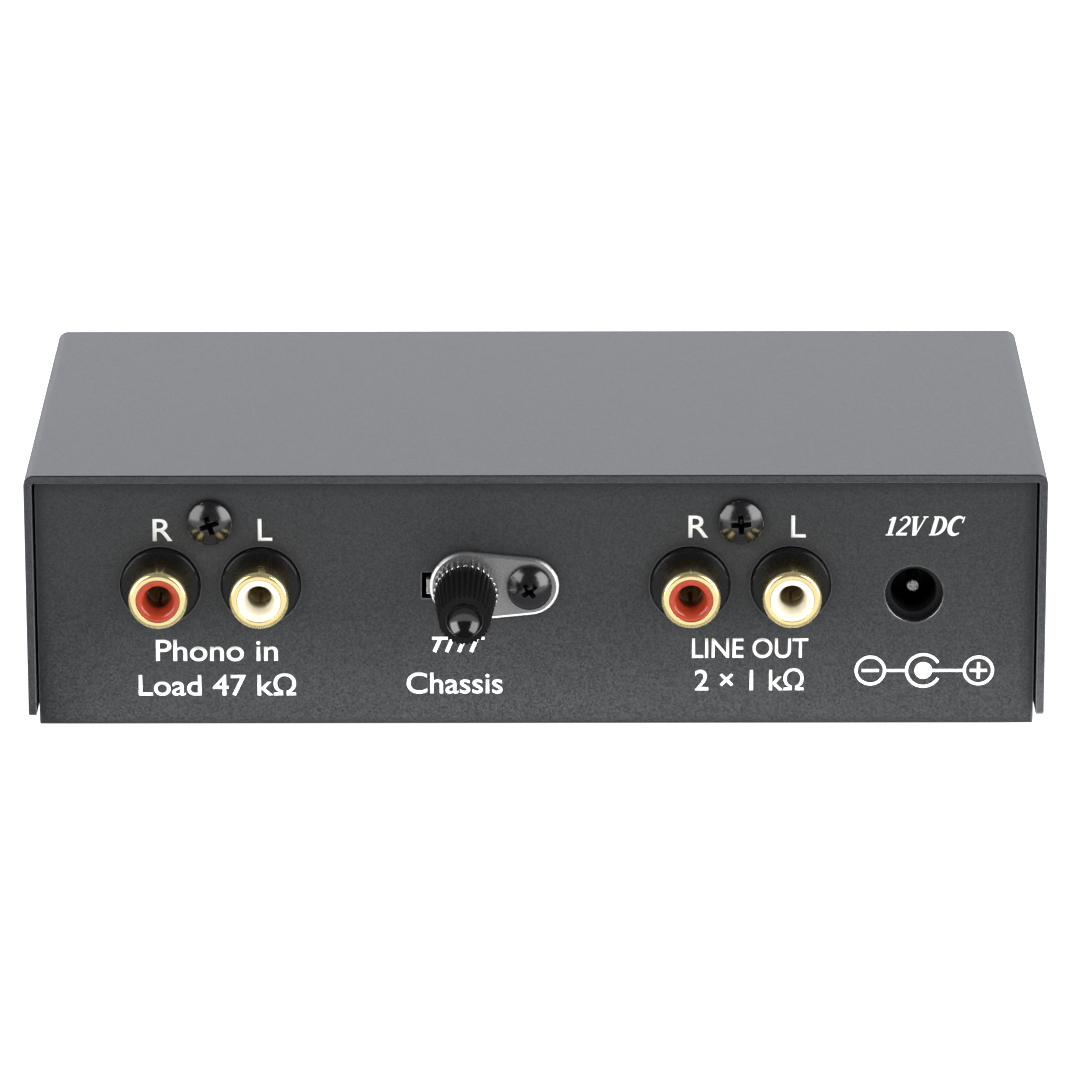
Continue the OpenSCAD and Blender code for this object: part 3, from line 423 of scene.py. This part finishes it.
def add_ink(mesh, flat_shape, place):
    """Gives a flat bmesh the thickness of the ink and adds it."""
    raised = bmesh.ops.extrude_face_region(flat_shape, geom=flat_shape.faces[:], use_keep_orig=True)
    lifted = [v for v in raised["geom"] if isinstance(v, bmesh.types.BMVert)]
    bmesh.ops.translate(flat_shape, vec=(0, 0, INK), verts=lifted)
    bmesh.ops.recalc_face_normals(flat_shape, faces=flat_shape.faces)
    add_body(mesh, flat_shape, place)


def add_words(mesh, words, x, z, cap_height, width):
    """A line of plain sans-serif letters, centred on x, with its baseline at z, set to a width."""
    line = bpy.data.curves.new("line", "FONT")
    line.body = words
    line.size, line.offset = cap_height * MM / CAPITAL, INK_SPREAD * cap_height * MM
    maker = bpy.data.objects.new("maker", line)
    outline = bpy.data.meshes.new_from_object(maker)
    letters = bmesh.new()
    letters.from_mesh(outline)
    bpy.data.objects.remove(maker)
    bpy.data.curves.remove(line)
    bpy.data.meshes.remove(outline)
    bmesh.ops.remove_doubles(letters, verts=letters.verts, dist=1e-6)
    left, right = (limit(v.co.x for v in letters.verts) for limit in (min, max))
    bmesh.ops.translate(letters, vec=(-(left + right) / 2, 0, 0), verts=letters.verts)
    bmesh.ops.scale(letters, vec=(width * MM / (right - left), 1, 1), verts=letters.verts)
    add_ink(mesh, letters, out_of_panel(x, z))


def add_stroke(mesh, path, widths, place, lean=0.0):
    """An inked stroke along a flat path, with a width at each point. A closed path ends where it starts."""
    body = bmesh.new()
    closed = path[0] == path[-1]
    edge = None
    for i, (x, y) in enumerate(path):
        before = path[i - 1] if i else path[-2 if closed else 0]
        after = path[i + 1] if i + 1 < len(path) else path[1 if closed else -1]
        side = Vector((before[1] - after[1], after[0] - before[0])).normalized() * widths[i] / 2
        corners = [(x + k * side.x + lean * (y + k * side.y), y + k * side.y) for k in (1, -1)]
        if edge is None:
            edge = body.edges.new([body.verts.new((0, 0, 0)) for k in (0, 1)])
        else:
            grown = bmesh.ops.extrude_edge_only(body, edges=[edge])["geom"]
            edges = (e for e in grown if isinstance(e, bmesh.types.BMEdge))
            edge = next(e for e in edges if all(v in grown for v in e.verts))
        for v, (px, py) in zip(edge.verts, corners):
            v.co = Vector((px, py, 0)) * MM
    bmesh.ops.remove_doubles(body, verts=body.verts, dist=1e-7)
    add_ink(mesh, body, place)


def arc(x, y, wide, tall, start, end, steps=48):
    """Points along an ellipse from one angle to another, in degrees."""
    turns = [math.radians(start + (end - start) * i / steps) for i in range(steps)]
    points = [(x + wide * math.cos(t), y + tall * math.sin(t)) for t in turns]
    if abs(end - start) == 360:
        return points + [points[0]]
    last = math.radians(end)
    return points + [(x + wide * math.cos(last), y + tall * math.sin(last))]


def swelling(count, thin, thick):
    """Pen widths that swell from thin to thick and back."""
    return [thin + (thick - thin) * math.sin(math.pi * i / (count - 1)) for i in range(count)]


words_mesh = bmesh.new()
for words, x, z, cap_height, width in (
        ("R", -51.87, 29.23, 3.15, 2.75), ("L", -37.63, 29.23, 3.15, 2.0),
        ("R", 22.6, 29.63, 3.15, 2.75), ("L", 36.5, 29.63, 3.15, 2.0),
        ("Phono in", -44.6, 11.7, 3.05, 17.0), ("Load 47 k\u03a9", -44.6, 6.62, 2.95, 22.0),
        ("Chassis", -11.4, 6.88, 3.0, 13.4),
        ("LINE OUT", 29.9, 12.05, 2.8, 16.2), ("2 \u00d7 1 k\u03a9", 29.8, 7.27, 2.95, 15.2)):
    add_words(words_mesh, words, x, z, cap_height, width)
put_together("legend_words", words_mesh, "case", "white_plastic", legend_ink, smooth=False)

symbols_mesh = bmesh.new()


def add_line(path, width, lift=0.0):
    """A stroke of one width among the symbols; its lift keeps it clear of a stroke that it crosses."""
    add_stroke(symbols_mesh, path, [width] * len(path), out_of_panel(0, 0, lift))


# The rake under the ground terminal: a bar with four slanting ticks.
RAKE_Z, RAKE_W, TICK_W = 14.95, 0.4, 0.5
add_line([(-14.5, RAKE_Z), (-7.2, RAKE_Z)], RAKE_W)
for tick in range(4):
    foot = -14.2 + 1.71 * tick
    add_line([(foot + 0.8, 14.83), (foot, 12.95)], TICK_W, lift=0.001)

# The poles of the DC plug: a ring with minus, a dot inside an open ring, and a ring with plus.
POLES_Z, LINE_W, BAR_W = 10.12, 0.41, 0.43
MINUS_X, DOT_X, PLUS_X = 46.72, 54.12, 61.83
RING_R, OPEN_RING_R, DOT_R, BAR_REACH = 1.98, 2.34, 1.23, 1.2
for ring_x in (MINUS_X, PLUS_X):
    add_line(arc(ring_x, POLES_Z, RING_R, RING_R, 0, 360), LINE_W)
    add_line([(ring_x - BAR_REACH, POLES_Z), (ring_x + BAR_REACH, POLES_Z)], BAR_W)
add_line([(PLUS_X, POLES_Z - BAR_REACH), (PLUS_X, POLES_Z + BAR_REACH)], BAR_W, lift=0.001)
add_line(arc(DOT_X, POLES_Z, OPEN_RING_R, OPEN_RING_R, 29, 331), LINE_W)
add_line(arc(DOT_X, POLES_Z, DOT_R / 2, DOT_R / 2, 0, 360), DOT_R, lift=0.001)
for left, right in ((48.6, 51.9), (55.2, 59.95)):
    add_line([(left, POLES_Z), (right, POLES_Z)], LINE_W, lift=0.0005)

# "12V DC" in slanted capitals with serifs, drawn with a broad pen. Strokes are in capital heights.
THIN, THICK, SERIF = 0.07, 0.20, 0.06
CAP_H, CAP_FOOT, CAP_LEAN, CAP_GAP = 2.75, 29.89, 0.27, 1.07


def even(*points, width):
    """A path with one width all along."""
    return list(points), [width] * len(points)


def letter_strokes():
    """How far the next sign stands to the right of each sign, and the strokes of each sign."""
    two = arc(0.27, 0.72, 0.22, 0.25, 165, -30, 20) + [(0.06, 0.10)]
    bowl = arc(0.26, 0.50, 0.40, 0.465, 88, -88, 24)
    crescent = arc(0.42, 0.50, 0.34, 0.465, 52, 308, 32)
    return (
        (0.50, [even((0.22, 0.03), (0.22, 0.97), width=0.19),
                even((0.02, 0.80), (0.24, 0.95), width=THIN),
                even((0.04, SERIF / 2), (0.42, SERIF / 2), width=SERIF)]),
        (0.60, [(two, [0.15, 0.13] + [THIN + 0.10 * i / 19 for i in range(18)] + [0.15, 0.10]),
                even((0.02, 0.07), (0.56, 0.07), width=0.14)]),
        (0.98, [even((0.10, 0.97), (0.31, 0.0), width=THICK),
                even((0.63, 0.97), (0.35, 0.0), width=THIN),
                even((-0.06, 0.97), (0.26, 0.97), width=SERIF),
                even((0.50, 0.97), (0.76, 0.97), width=SERIF)]),
        (0.80, [even((0.16, 0.03), (0.16, 0.97), width=THICK),
                even((0.0, 0.97), (0.28, 0.97), width=SERIF),
                even((0.0, 0.03), (0.28, 0.03), width=SERIF),
                (bowl, swelling(25, SERIF, THICK))]),
        (0.00, [(crescent, swelling(33, SERIF, THICK + 0.02)),
                even((0.66, 0.66), (0.68, 0.98), width=SERIF)]))


pen_x = 48.5
for advance, strokes in letter_strokes():
    for layer, (path, widths) in enumerate(strokes):
        add_stroke(symbols_mesh, [(CAP_H * x, CAP_H * y) for x, y in path], [CAP_H * w for w in widths],
                   out_of_panel(pen_x, CAP_FOOT, 0.0005 * layer), lean=CAP_LEAN)
    pen_x += CAP_H * advance * CAP_GAP
put_together("legend_symbols", symbols_mesh, "case", "white_plastic", legend_ink, smooth=False)


# ---- Phono sockets ------------------------------------------------------------------------------
# Each socket is a turned brass shell, thinly gold plated, whose shoulder seats on the black moulded
# block. A coloured insert, red or white, fills it and keeps the gold contact that grips the plug.
def ring_edges(body, radius, height):
    """The edges of a circle round Z. Millimetres."""
    at_height = [e for e in body.edges if all(abs(v.co.z - height * MM) < 1e-6 for v in e.verts)]
    return [e for e in at_height if all(abs(v.co.xy.length - radius * MM) < 1e-6 for v in e.verts)]


def turned(corners):
    """Spins a closed outline round Z. A corner is (radius, height, rounding) in millimetres."""
    body = bmesh.new()
    points = [body.verts.new((radius * MM, 0, height * MM)) for radius, height, rounding in corners]
    outline = [body.edges.new(pair) for pair in zip(points, points[1:] + points[:1])]
    bmesh.ops.spin(body, geom=points + outline, cent=(0, 0, 0), axis=(0, 0, 1), dvec=(0, 0, 0),
                   angle=2 * math.pi, steps=96, use_merge=True, use_duplicate=False)
    bmesh.ops.remove_doubles(body, verts=body.verts, dist=1e-7)
    bmesh.ops.recalc_face_normals(body, faces=body.faces)
    for radius, height, rounding in corners:
        if rounding:
            round_over(body, ring_edges(body, radius, height), rounding, 6)
    return body


def block_shape(size, middle):
    """A rectangular bar. Millimetres."""
    body = bmesh.new()
    bmesh.ops.create_cube(body, size=MM)
    bmesh.ops.scale(body, vec=size, verts=body.verts)
    bmesh.ops.translate(body, vec=Vector(middle) * MM, verts=body.verts)
    return body


SOCKET_Z = 22.7
SOCKET_X = {"input": (-52.3, -38.3), "output": (21.5, 35.5)}
# The outlines' corners stand at a radius and a height over the panel, and have a rounding.
SHELL = ((3.05, -6, 0), (3.85, -6, 0), (3.85, 1, 0), (4.1, 1, 0), (4.1, 7.4, 0.62), (3.05, 7.4, 0.06))
INSERT = ((2.0, -11.65, 0), (3.03, -11.65, 0), (3.03, 7.37, 0.10), (2.25, 7.37, 0.45), (1.65, 5.35, 0.3),
          (1.65, 2.2, 0), (2.0, 2.2, 0))
# A flat tail goes down from the shell's root, and its narrow tip passes through the board.
BOARD_TOP, TAIL_Y, TAIL_T = 14.55, -28.5 + 5.7, 0.6
TAIL = ((2.0, BOARD_TOP, 19.25), (1.2, 11.45, BOARD_TOP + 1))   # width, lower end, upper end

gold_plate, tree, shader = new_finish("gold_plate", Metallic=1.0)
tone = place_group(tree, grain, Size=2.5, Detail=2.0, Contrast=1.2)
tree.links.new(mixed(tree, tone, (0.88, 0.70, 0.30), (0.94, 0.79, 0.38)), shader.inputs["Base Color"])
smudges = place_group(tree, grain, Size=0.5, Detail=4.0, Contrast=1.5)
tree.links.new(mixed(tree, smudges, 0.12, 0.24), shader.inputs["Roughness"])
# The lathe leaves rings along the shell, drawn by noise that runs only along Y.
lathe, g_in, g_out = node_group("lathe_rings", [("Pitch", "Float", 0.15)], [("Height", "Float")])
where = lathe.nodes.new("ShaderNodeTexCoord")
along = lathe.nodes.new("ShaderNodeMapping")
along.inputs["Scale"].default_value = (0, 1, 0)
lathe.links.new(where.outputs["Object"], along.inputs["Vector"])
rings = lathe.nodes.new("ShaderNodeTexNoise")
rings.inputs["Detail"].default_value = 3.0
lathe.links.new(along.outputs["Vector"], rings.inputs["Vector"])
lathe.links.new(math_node(lathe, "DIVIDE", 1000.0, g_in.outputs["Pitch"]), rings.inputs["Scale"])
lathe.links.new(rings.outputs["Fac"], g_out.inputs["Height"])
add_relief(tree, shader, place_group(tree, lathe, Pitch=0.3), 0.05, 0.7)
# Plugs have rubbed the shell's front end paler and duller than its side.
gold_rim = grained("gold_rim", (0.88, 0.72, 0.32), (0.94, 0.80, 0.42), (0.14, 0.26), size=0.6, depth=0.004,
                   Metallic=0.86)
RUBBED_FROM = PANEL_Y - 6.8 * MM

for pair, places in SOCKET_X.items():
    shells = bmesh.new()
    for x in places:
        add_body(shells, turned(SHELL), out_of_panel(x, SOCKET_Z))
        for width, low, high in TAIL:
            bar = block_shape((width, TAIL_T, high - low), (x, TAIL_Y, (low + high) / 2))
            add_body(shells, bar, Matrix())
    gilded = put_together(pair + "_shells_gold", shells, "case", "gold_plate", gold_plate,
                          pair + "_socket_shells")
    gilded.data.materials.append(gold_rim)
    for face in gilded.data.polygons:
        face.material_index = int(face.center.y < RUBBED_FROM)

red_plastic = grained("red_plastic", (0.31, 0.034, 0.013), (0.39, 0.050, 0.021), (0.08, 0.16), size=0.9,
                      depth=0.002)
white_plastic = grained("white_plastic", (0.77, 0.705, 0.54), (0.83, 0.775, 0.62), (0.12, 0.20), size=0.9,
                        depth=0.002)
for side, colour, finish in ((0, "red", red_plastic), (1, "white", white_plastic)):
    inserts = bmesh.new()
    for places in SOCKET_X.values():
        add_body(inserts, turned(INSERT), out_of_panel(places[side], SOCKET_Z))
    put_together(colour + "_inserts", inserts, "case", colour + "_plastic", finish,
                 colour + "_socket_inserts")

# The moulded block's two bosses come through the panel, and their front edges are rounded.
BOSS_FRONT_Y, OUTSIDE_BORE = -29.5, 4.6
block_plastic = grained("block_plastic", (0.004, 0.004, 0.0045), (0.008, 0.008, 0.0085), (0.10, 0.18),
                        size=0.6, Specular_IOR_Level=0.22)
for pair, places in SOCKET_X.items():
    node = pair + "_socket_block"
    block = merged_copy(node)
    front = [e for e in block.edges if all(abs(v.co.y / MM - BOSS_FRONT_Y) < 0.01 for v in e.verts)]
    outer = [e for e in front if all(min(off_axis(v.co, x, SOCKET_Z) for x in places) > OUTSIDE_BORE
                                     for v in e.verts)]
    round_over(block, outer, 0.2, 4)
    ease_edges(block, 0.08)
    put_together(node + "_black", block, "case", "black_plastic", block_plastic, node)


# ---- Cross-head screws --------------------------------------------------------------------------
# Black-plated steel screws with domed heads: one holds each socket block, and a wider one holds the
# ground plate. Their cross recess tapers to the bit's point. The cover's four screws lie flush.
def cut_out(body, cutter):
    """Cuts one closed bmesh out of another."""
    pair = []
    for shape in (body, cutter):
        data = bpy.data.meshes.new("cutting")
        shape.to_mesh(data)
        shape.free()
        pair.append(bpy.data.objects.new("cutting", data))
        bpy.context.scene.collection.objects.link(pair[-1])
    cut = pair[0].modifiers.new("cut", "BOOLEAN")
    cut.operation, cut.solver, cut.object = "DIFFERENCE", "EXACT", pair[1]
    bpy.context.view_layer.update()
    finished = bpy.data.meshes.new_from_object(pair[0].evaluated_get(bpy.context.evaluated_depsgraph_get()))
    result = bmesh.new()
    result.from_mesh(finished)
    for piece in pair:
        data = piece.data
        bpy.data.objects.remove(piece)
        bpy.data.meshes.remove(data)
    bpy.data.meshes.remove(finished)
    return result


def cross_recess(body, reach, width, floor, top, turn):
    """Cuts a cross recess whose wings taper towards its floor. Millimetres, degrees."""
    for angle in (turn, turn + 90):
        wing = bmesh.new()
        bmesh.ops.create_cube(wing, size=MM)
        bmesh.ops.scale(wing, vec=(2 * reach, width, top - floor), verts=wing.verts)
        bmesh.ops.scale(wing, vec=(0.4, 0.65, 1), verts=[v for v in wing.verts if v.co.z < 0])
        bmesh.ops.transform(wing, verts=wing.verts, matrix=Matrix.Rotation(math.radians(angle), 4, "Z")
                            @ Matrix.Translation((0, 0, (top + floor) / 2 * MM)))
        body = cut_out(body, wing)
    return body


def domed_screw(head_r, head_h, rim_h, shank_r, shank_l, recess, turn):
    """A cross-head screw along Z, with its head on z = 0. Millimetres."""
    dome = head_h - rim_h
    ball_r = (head_r ** 2 + dome ** 2) / (2 * dome)
    body = bmesh.new()
    bmesh.ops.create_uvsphere(body, u_segments=72, v_segments=96, radius=ball_r * MM)
    bmesh.ops.translate(body, vec=(0, 0, (head_h - ball_r) * MM), verts=body.verts)
    bmesh.ops.bisect_plane(body, geom=body.verts[:] + body.edges[:] + body.faces[:],
                           plane_co=(0, 0, rim_h * MM), plane_no=(0, 0, 1), clear_inner=True)
    for radius, low in ((head_r, 0), (shank_r, 0), (shank_r, -shank_l)):
        made = bmesh.ops.extrude_edge_only(body, edges=[e for e in body.edges if e.is_boundary])
        for v in (v for v in made["geom"] if isinstance(v, bmesh.types.BMVert)):
            v.co.xy = v.co.xy.normalized() * radius * MM
            v.co.z = low * MM
    bmesh.ops.holes_fill(body, edges=[e for e in body.edges if e.is_boundary])
    bmesh.ops.recalc_face_normals(body, faces=body.faces)
    round_over(body, ring_edges(body, head_r, rim_h), 0.12, 3)
    body = cross_recess(body, recess, width=0.8, floor=0.3, top=head_h + 0.4, turn=turn)
    ease_edges(body, 0.05, sharper_than=35)
    return body


black_plating = grained("black_plating", (0.004, 0.004, 0.005), (0.010, 0.010, 0.011), (0.14, 0.26),
                        size=0.25, depth=0.006, contrast=1.8, Specular_IOR_Level=0.85)

BLOCK_SCREW_Z = 32.0
block_screws = bmesh.new()
for x, turn in ((-45.3, 20), (28.5, 3)):
    block_screw = domed_screw(3.2, 2.1, 0.8, 1.4, 8, recess=1.7, turn=turn)
    add_body(block_screws, block_screw, out_of_panel(x, BLOCK_SCREW_Z))
put_together("socket_block_screws_black", block_screws, "case", "black_screw", black_plating,
             "socket_block_screws")

COVER_SCREW_X, COVER_SCREW_Z = 69, 10
cover_screws = merged_copy("cover_screws")
ease_edges(cover_screws, 0.06)
for side in (-1, 1):
    for y in (-14.75, 29.25):
        at_head = Matrix.Translation((side * COVER_SCREW_X * MM, y * MM, COVER_SCREW_Z * MM))
        sideways = at_head @ Matrix.Rotation(side * math.pi / 2, 4, "Y")
        bmesh.ops.transform(cover_screws, matrix=sideways.inverted(), verts=cover_screws.verts)
        cover_screws = cross_recess(cover_screws, 1.35, width=0.7, floor=0.9, top=2.2, turn=15 * y)
        bmesh.ops.transform(cover_screws, matrix=sideways, verts=cover_screws.verts)
put_together("cover_screws_black", cover_screws, "case", "black_screw", black_plating, "cover_screws")


# ---- Ground terminal ----------------------------------------------------------------------------
# A nickel-plated teardrop plate, fixed by a wide screw. On its stud sit a toothed lock washer and a
# thumb nut: a knurled metal base moulded into a ridged, tapering black knob with a dished end.
def eased_copy(node, body, slot, finish, radius, sharper_than=40):
    """Stands for a solid with its own shape, whose edges are rounded. Millimetres."""
    mesh = merged_copy(node)
    ease_edges(mesh, radius, sharper_than)
    return put_together(node + "_eased", mesh, body, slot, finish, node)


# The plate's face is dull and dark from handling. Its cut edge takes the paler washer finish wherever
# it does not face up: a painted highlight.
dull = {"size": 0.2, "depth": 0.012, "contrast": 2.4}
plate_nickel = grained("plate_nickel", (0.17, 0.17, 0.172), (0.34, 0.34, 0.34), (0.30, 0.42), Metallic=0.8,
                       **dull)
washer_nickel = grained("washer_nickel", (0.60, 0.60, 0.59), (0.80, 0.80, 0.79), (0.28, 0.42),
                        Metallic=0.35, **dull)
plate = eased_copy("ground_plate", "case", "nickel_plate", plate_nickel, 0.06, sharper_than=30)
plate.data.materials.append(washer_nickel)
# Painted highlight: the plate's edge faces that do not face up take the paler washer finish.
for face in plate.data.polygons:
    face.material_index = int(abs(face.normal.y) < 0.97 and face.normal.z < 0.4)
eased_copy("ground_lock_washer", "ground_washer", "nickel_plate", washer_nickel, 0.08)

# The nut's teeth stand a little proud of the knob's ridges.
KNOB_X, KNOB_Z = -9.75, SOCKET_Z
TEETH_FROM_R, TEETH_OUT = 3.2, 1.09
nickel_plate = grained("nickel_plate", (0.62, 0.62, 0.61), (0.76, 0.76, 0.75), (0.16, 0.28), size=0.22,
                       depth=0.008, contrast=2.0, edges=((0.92, 0.92, 0.91), 0.2, 1.0), Metallic=1.0)
nut = merged_copy("ground_nut")
for v in nut.verts:
    outwards = Vector((v.co.x - KNOB_X * MM, v.co.z - KNOB_Z * MM))
    if outwards.length > TEETH_FROM_R * MM:
        v.co.x = KNOB_X * MM + outwards.x * TEETH_OUT
        v.co.z = KNOB_Z * MM + outwards.y * TEETH_OUT
ease_edges(nut, 0.13)
put_together("ground_nut_toothed", nut, "ground_thumb_nut", "nickel_plate", nickel_plate, "ground_nut")

# The knob's dish is a polished hollow ball, cut into the rougher end.
KNOB_TIP, BALL_R, DISH_R = -44.5, 3.06, 2.52
knob_plastic = grained("knob_plastic", (0.003, 0.003, 0.0033), (0.007, 0.007, 0.0075), (0.30, 0.44),
                       depth=0.006, contrast=1.8, Specular_IOR_Level=0.12)
dish_plastic = grained("dish_plastic", (0.002, 0.002, 0.0023), (0.004, 0.004, 0.0045), (0.10, 0.18),
                       size=0.5, depth=0.002, Specular_IOR_Level=0.9)
knob = merged_copy("ground_knob")
ease_edges(knob, 0.06, sharper_than=25)
ball = bmesh.new()
bmesh.ops.create_uvsphere(ball, u_segments=96, v_segments=64, radius=BALL_R * MM)
ball_middle = Vector((KNOB_X, KNOB_TIP - math.sqrt(BALL_R ** 2 - DISH_R ** 2), KNOB_Z))
bmesh.ops.translate(ball, vec=ball_middle * MM, verts=ball.verts)
knob = cut_out(knob, ball)
for face in knob.faces:
    from_ball = (face.calc_center_median() / MM - ball_middle).length
    face.material_index = int(abs(from_ball - BALL_R) < 0.02)
knob_piece = put_together("ground_knob_ridged", knob, "ground_thumb_nut", "black_plastic", knob_plastic,
                          "ground_knob")
knob_piece.data.materials.append(dish_plastic)

PLATE_SCREW_X, PLATE_T = -0.9, 0.9
plate_screw = bmesh.new()
add_body(plate_screw, domed_screw(3.15, 2.1, 0.7, 1.5, 7.3, recess=1.4, turn=38),
         out_of_panel(PLATE_SCREW_X, SOCKET_Z, PLATE_T))
put_together("ground_plate_screw_black", plate_screw, "case", "black_screw", black_plating,
             "ground_plate_screw")


# ---- DC socket ----------------------------------------------------------------------------------
# A matt black moulded body stands on the board behind the panel's hole. It holds a bright
# nickel-plated middle pin and, below it, a dull springy leaf.
dc_plastic = grained("dc_plastic", (0.009, 0.0094, 0.0105), (0.014, 0.0144, 0.0156), (0.30, 0.42),
                     size=0.25, Specular_IOR_Level=0.12)
# The pin's rounded rim is lighter than its face: a painted highlight.
pin_plate = grained("pin_plate", (0.05, 0.05, 0.05), (0.55, 0.55, 0.54), (0.20, 0.40), contrast=4.0,
                    depth=0.01, edges=((0.9, 0.9, 0.89), 0.2, 1.0), Metallic=1.0)
leaf_plate = grained("leaf_plate", (0.06, 0.06, 0.06), (0.16, 0.155, 0.15), (0.3, 0.45), Metallic=1.0)
eased_copy("dc_socket_body", "case", "black_plastic", dc_plastic, 0.12)
eased_copy("dc_socket_pin", "case", "nickel_plate", pin_plate, 0.03)
eased_copy("dc_socket_spring", "case", "brass", leaf_plate, 0.05)


# ---- Feet ---------------------------------------------------------------------------------------
# Four feet of soft black rubber, glued on under the corners of the chassis. Their lower edges are
# worn round and grey.
rubber = grained("rubber", (0.014, 0.014, 0.015), (0.034, 0.034, 0.035), (0.70, 0.92), size=0.35, depth=0.04,
                 contrast=2.0, edges=((0.07, 0.07, 0.07), 0.5, 0.7), Specular_IOR_Level=0.3)
eased_copy("feet", "case", "rubber", rubber, 0.35)


# ---- Power light --------------------------------------------------------------------------------
# A round light of diffused green resin on the plain panel. It is held by a black plastic ring that
# snaps into the panel's hole.
light_lens = grained("light_lens", (0.16, 0.42, 0.14), (0.26, 0.56, 0.22), (0.12, 0.24), size=0.8,
                     depth=0.006, Transmission_Weight=0.25, Subsurface_Weight=0.2)
holder_plastic = grained("holder_plastic", (0.006, 0.006, 0.0065), (0.014, 0.014, 0.015), (0.30, 0.46),
                         depth=0.01, edges=((0.05, 0.05, 0.05), 0.2, 0.6))
eased_copy("power_light", "case", "light_lens", light_lens, 0.08, sharper_than=50)
eased_copy("power_light_holder", "case", "black_plastic", holder_plastic, 0.08)


# ---- Solids that show as they are ---------------------------------------------------------------
# The circuit board with its parts, the fasteners and the contacts keep their own shape inside the
# case, and only get a finish each.
def paint_nodes(finish, *nodes):
    """Gives the solids of some nodes a new finish in place of their own."""
    for node in nodes:
        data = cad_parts[node].data
        data.materials.clear()
        data.materials.append(finish)


solder_mask = grained("solder_mask", (0.012, 0.085, 0.036), (0.022, 0.125, 0.055), (0.22, 0.38), size=1.2,
                      depth=0.012, edges=((0.34, 0.33, 0.20), 0.3, 0.9))
paint_nodes(solder_mask, "circuit_board")
turned_brass = grained("turned_brass", (0.62, 0.46, 0.20), (0.80, 0.63, 0.32), (0.22, 0.38), size=0.2,
                       depth=0.008, edges=((0.92, 0.80, 0.50), 0.25, 0.8), Metallic=1.0)
paint_nodes(turned_brass, "board_standoffs")
contact_gold = grained("contact_gold", (0.80, 0.66, 0.38), (0.92, 0.78, 0.50), (0.45, 0.60), depth=0.004,
                       Metallic=0.15)
paint_nodes(contact_gold, "socket_contacts")
zinc_steel = grained("zinc_steel", (0.46, 0.47, 0.49), (0.64, 0.65, 0.66), (0.26, 0.44), size=0.25,
                     depth=0.012, edges=((0.85, 0.85, 0.86), 0.25, 0.8), Metallic=1.0)
paint_nodes(zinc_steel, "board_screws", "base_screws", "ground_plate_nut")
paint_nodes(nickel_plate, "ground_post", "ground_strap")
chip_epoxy = grained("chip_epoxy", (0.010, 0.010, 0.011), (0.022, 0.022, 0.023), (0.50, 0.70), size=0.2,
                     depth=0.02, contrast=2.0, edges=((0.06, 0.06, 0.06), 0.3, 0.6))
paint_nodes(chip_epoxy, "amplifier_chips", "voltage_regulator", "supply_diode")
socket_resin = grained("socket_resin", (0.012, 0.012, 0.012), (0.020, 0.020, 0.020), (0.34, 0.50), size=0.5,
                       depth=0.01)
paint_nodes(socket_resin, "chip_sockets")
can_sleeve = grained("can_sleeve", (0.016, 0.028, 0.075), (0.030, 0.050, 0.120), (0.20, 0.34), size=1.5,
                     depth=0.02, edges=((0.30, 0.32, 0.38), 0.5, 0.7))
paint_nodes(can_sleeve, "supply_capacitors", "coupling_capacitors")
film_case = grained("film_case", (0.30, 0.05, 0.03), (0.44, 0.09, 0.05), (0.24, 0.40), size=0.8,
                    depth=0.012, edges=((0.62, 0.24, 0.18), 0.3, 0.6))
paint_nodes(film_case, "film_capacitors")
ceramic = grained("ceramic", (0.52, 0.24, 0.05), (0.70, 0.36, 0.10), (0.42, 0.60), size=0.5, depth=0.03)
paint_nodes(ceramic, "ceramic_capacitors")
resistor_body = grained("resistor_body", (0.14, 0.28, 0.42), (0.24, 0.42, 0.58), (0.26, 0.42), size=0.4,
                        depth=0.01)
paint_nodes(resistor_body, "resistors")
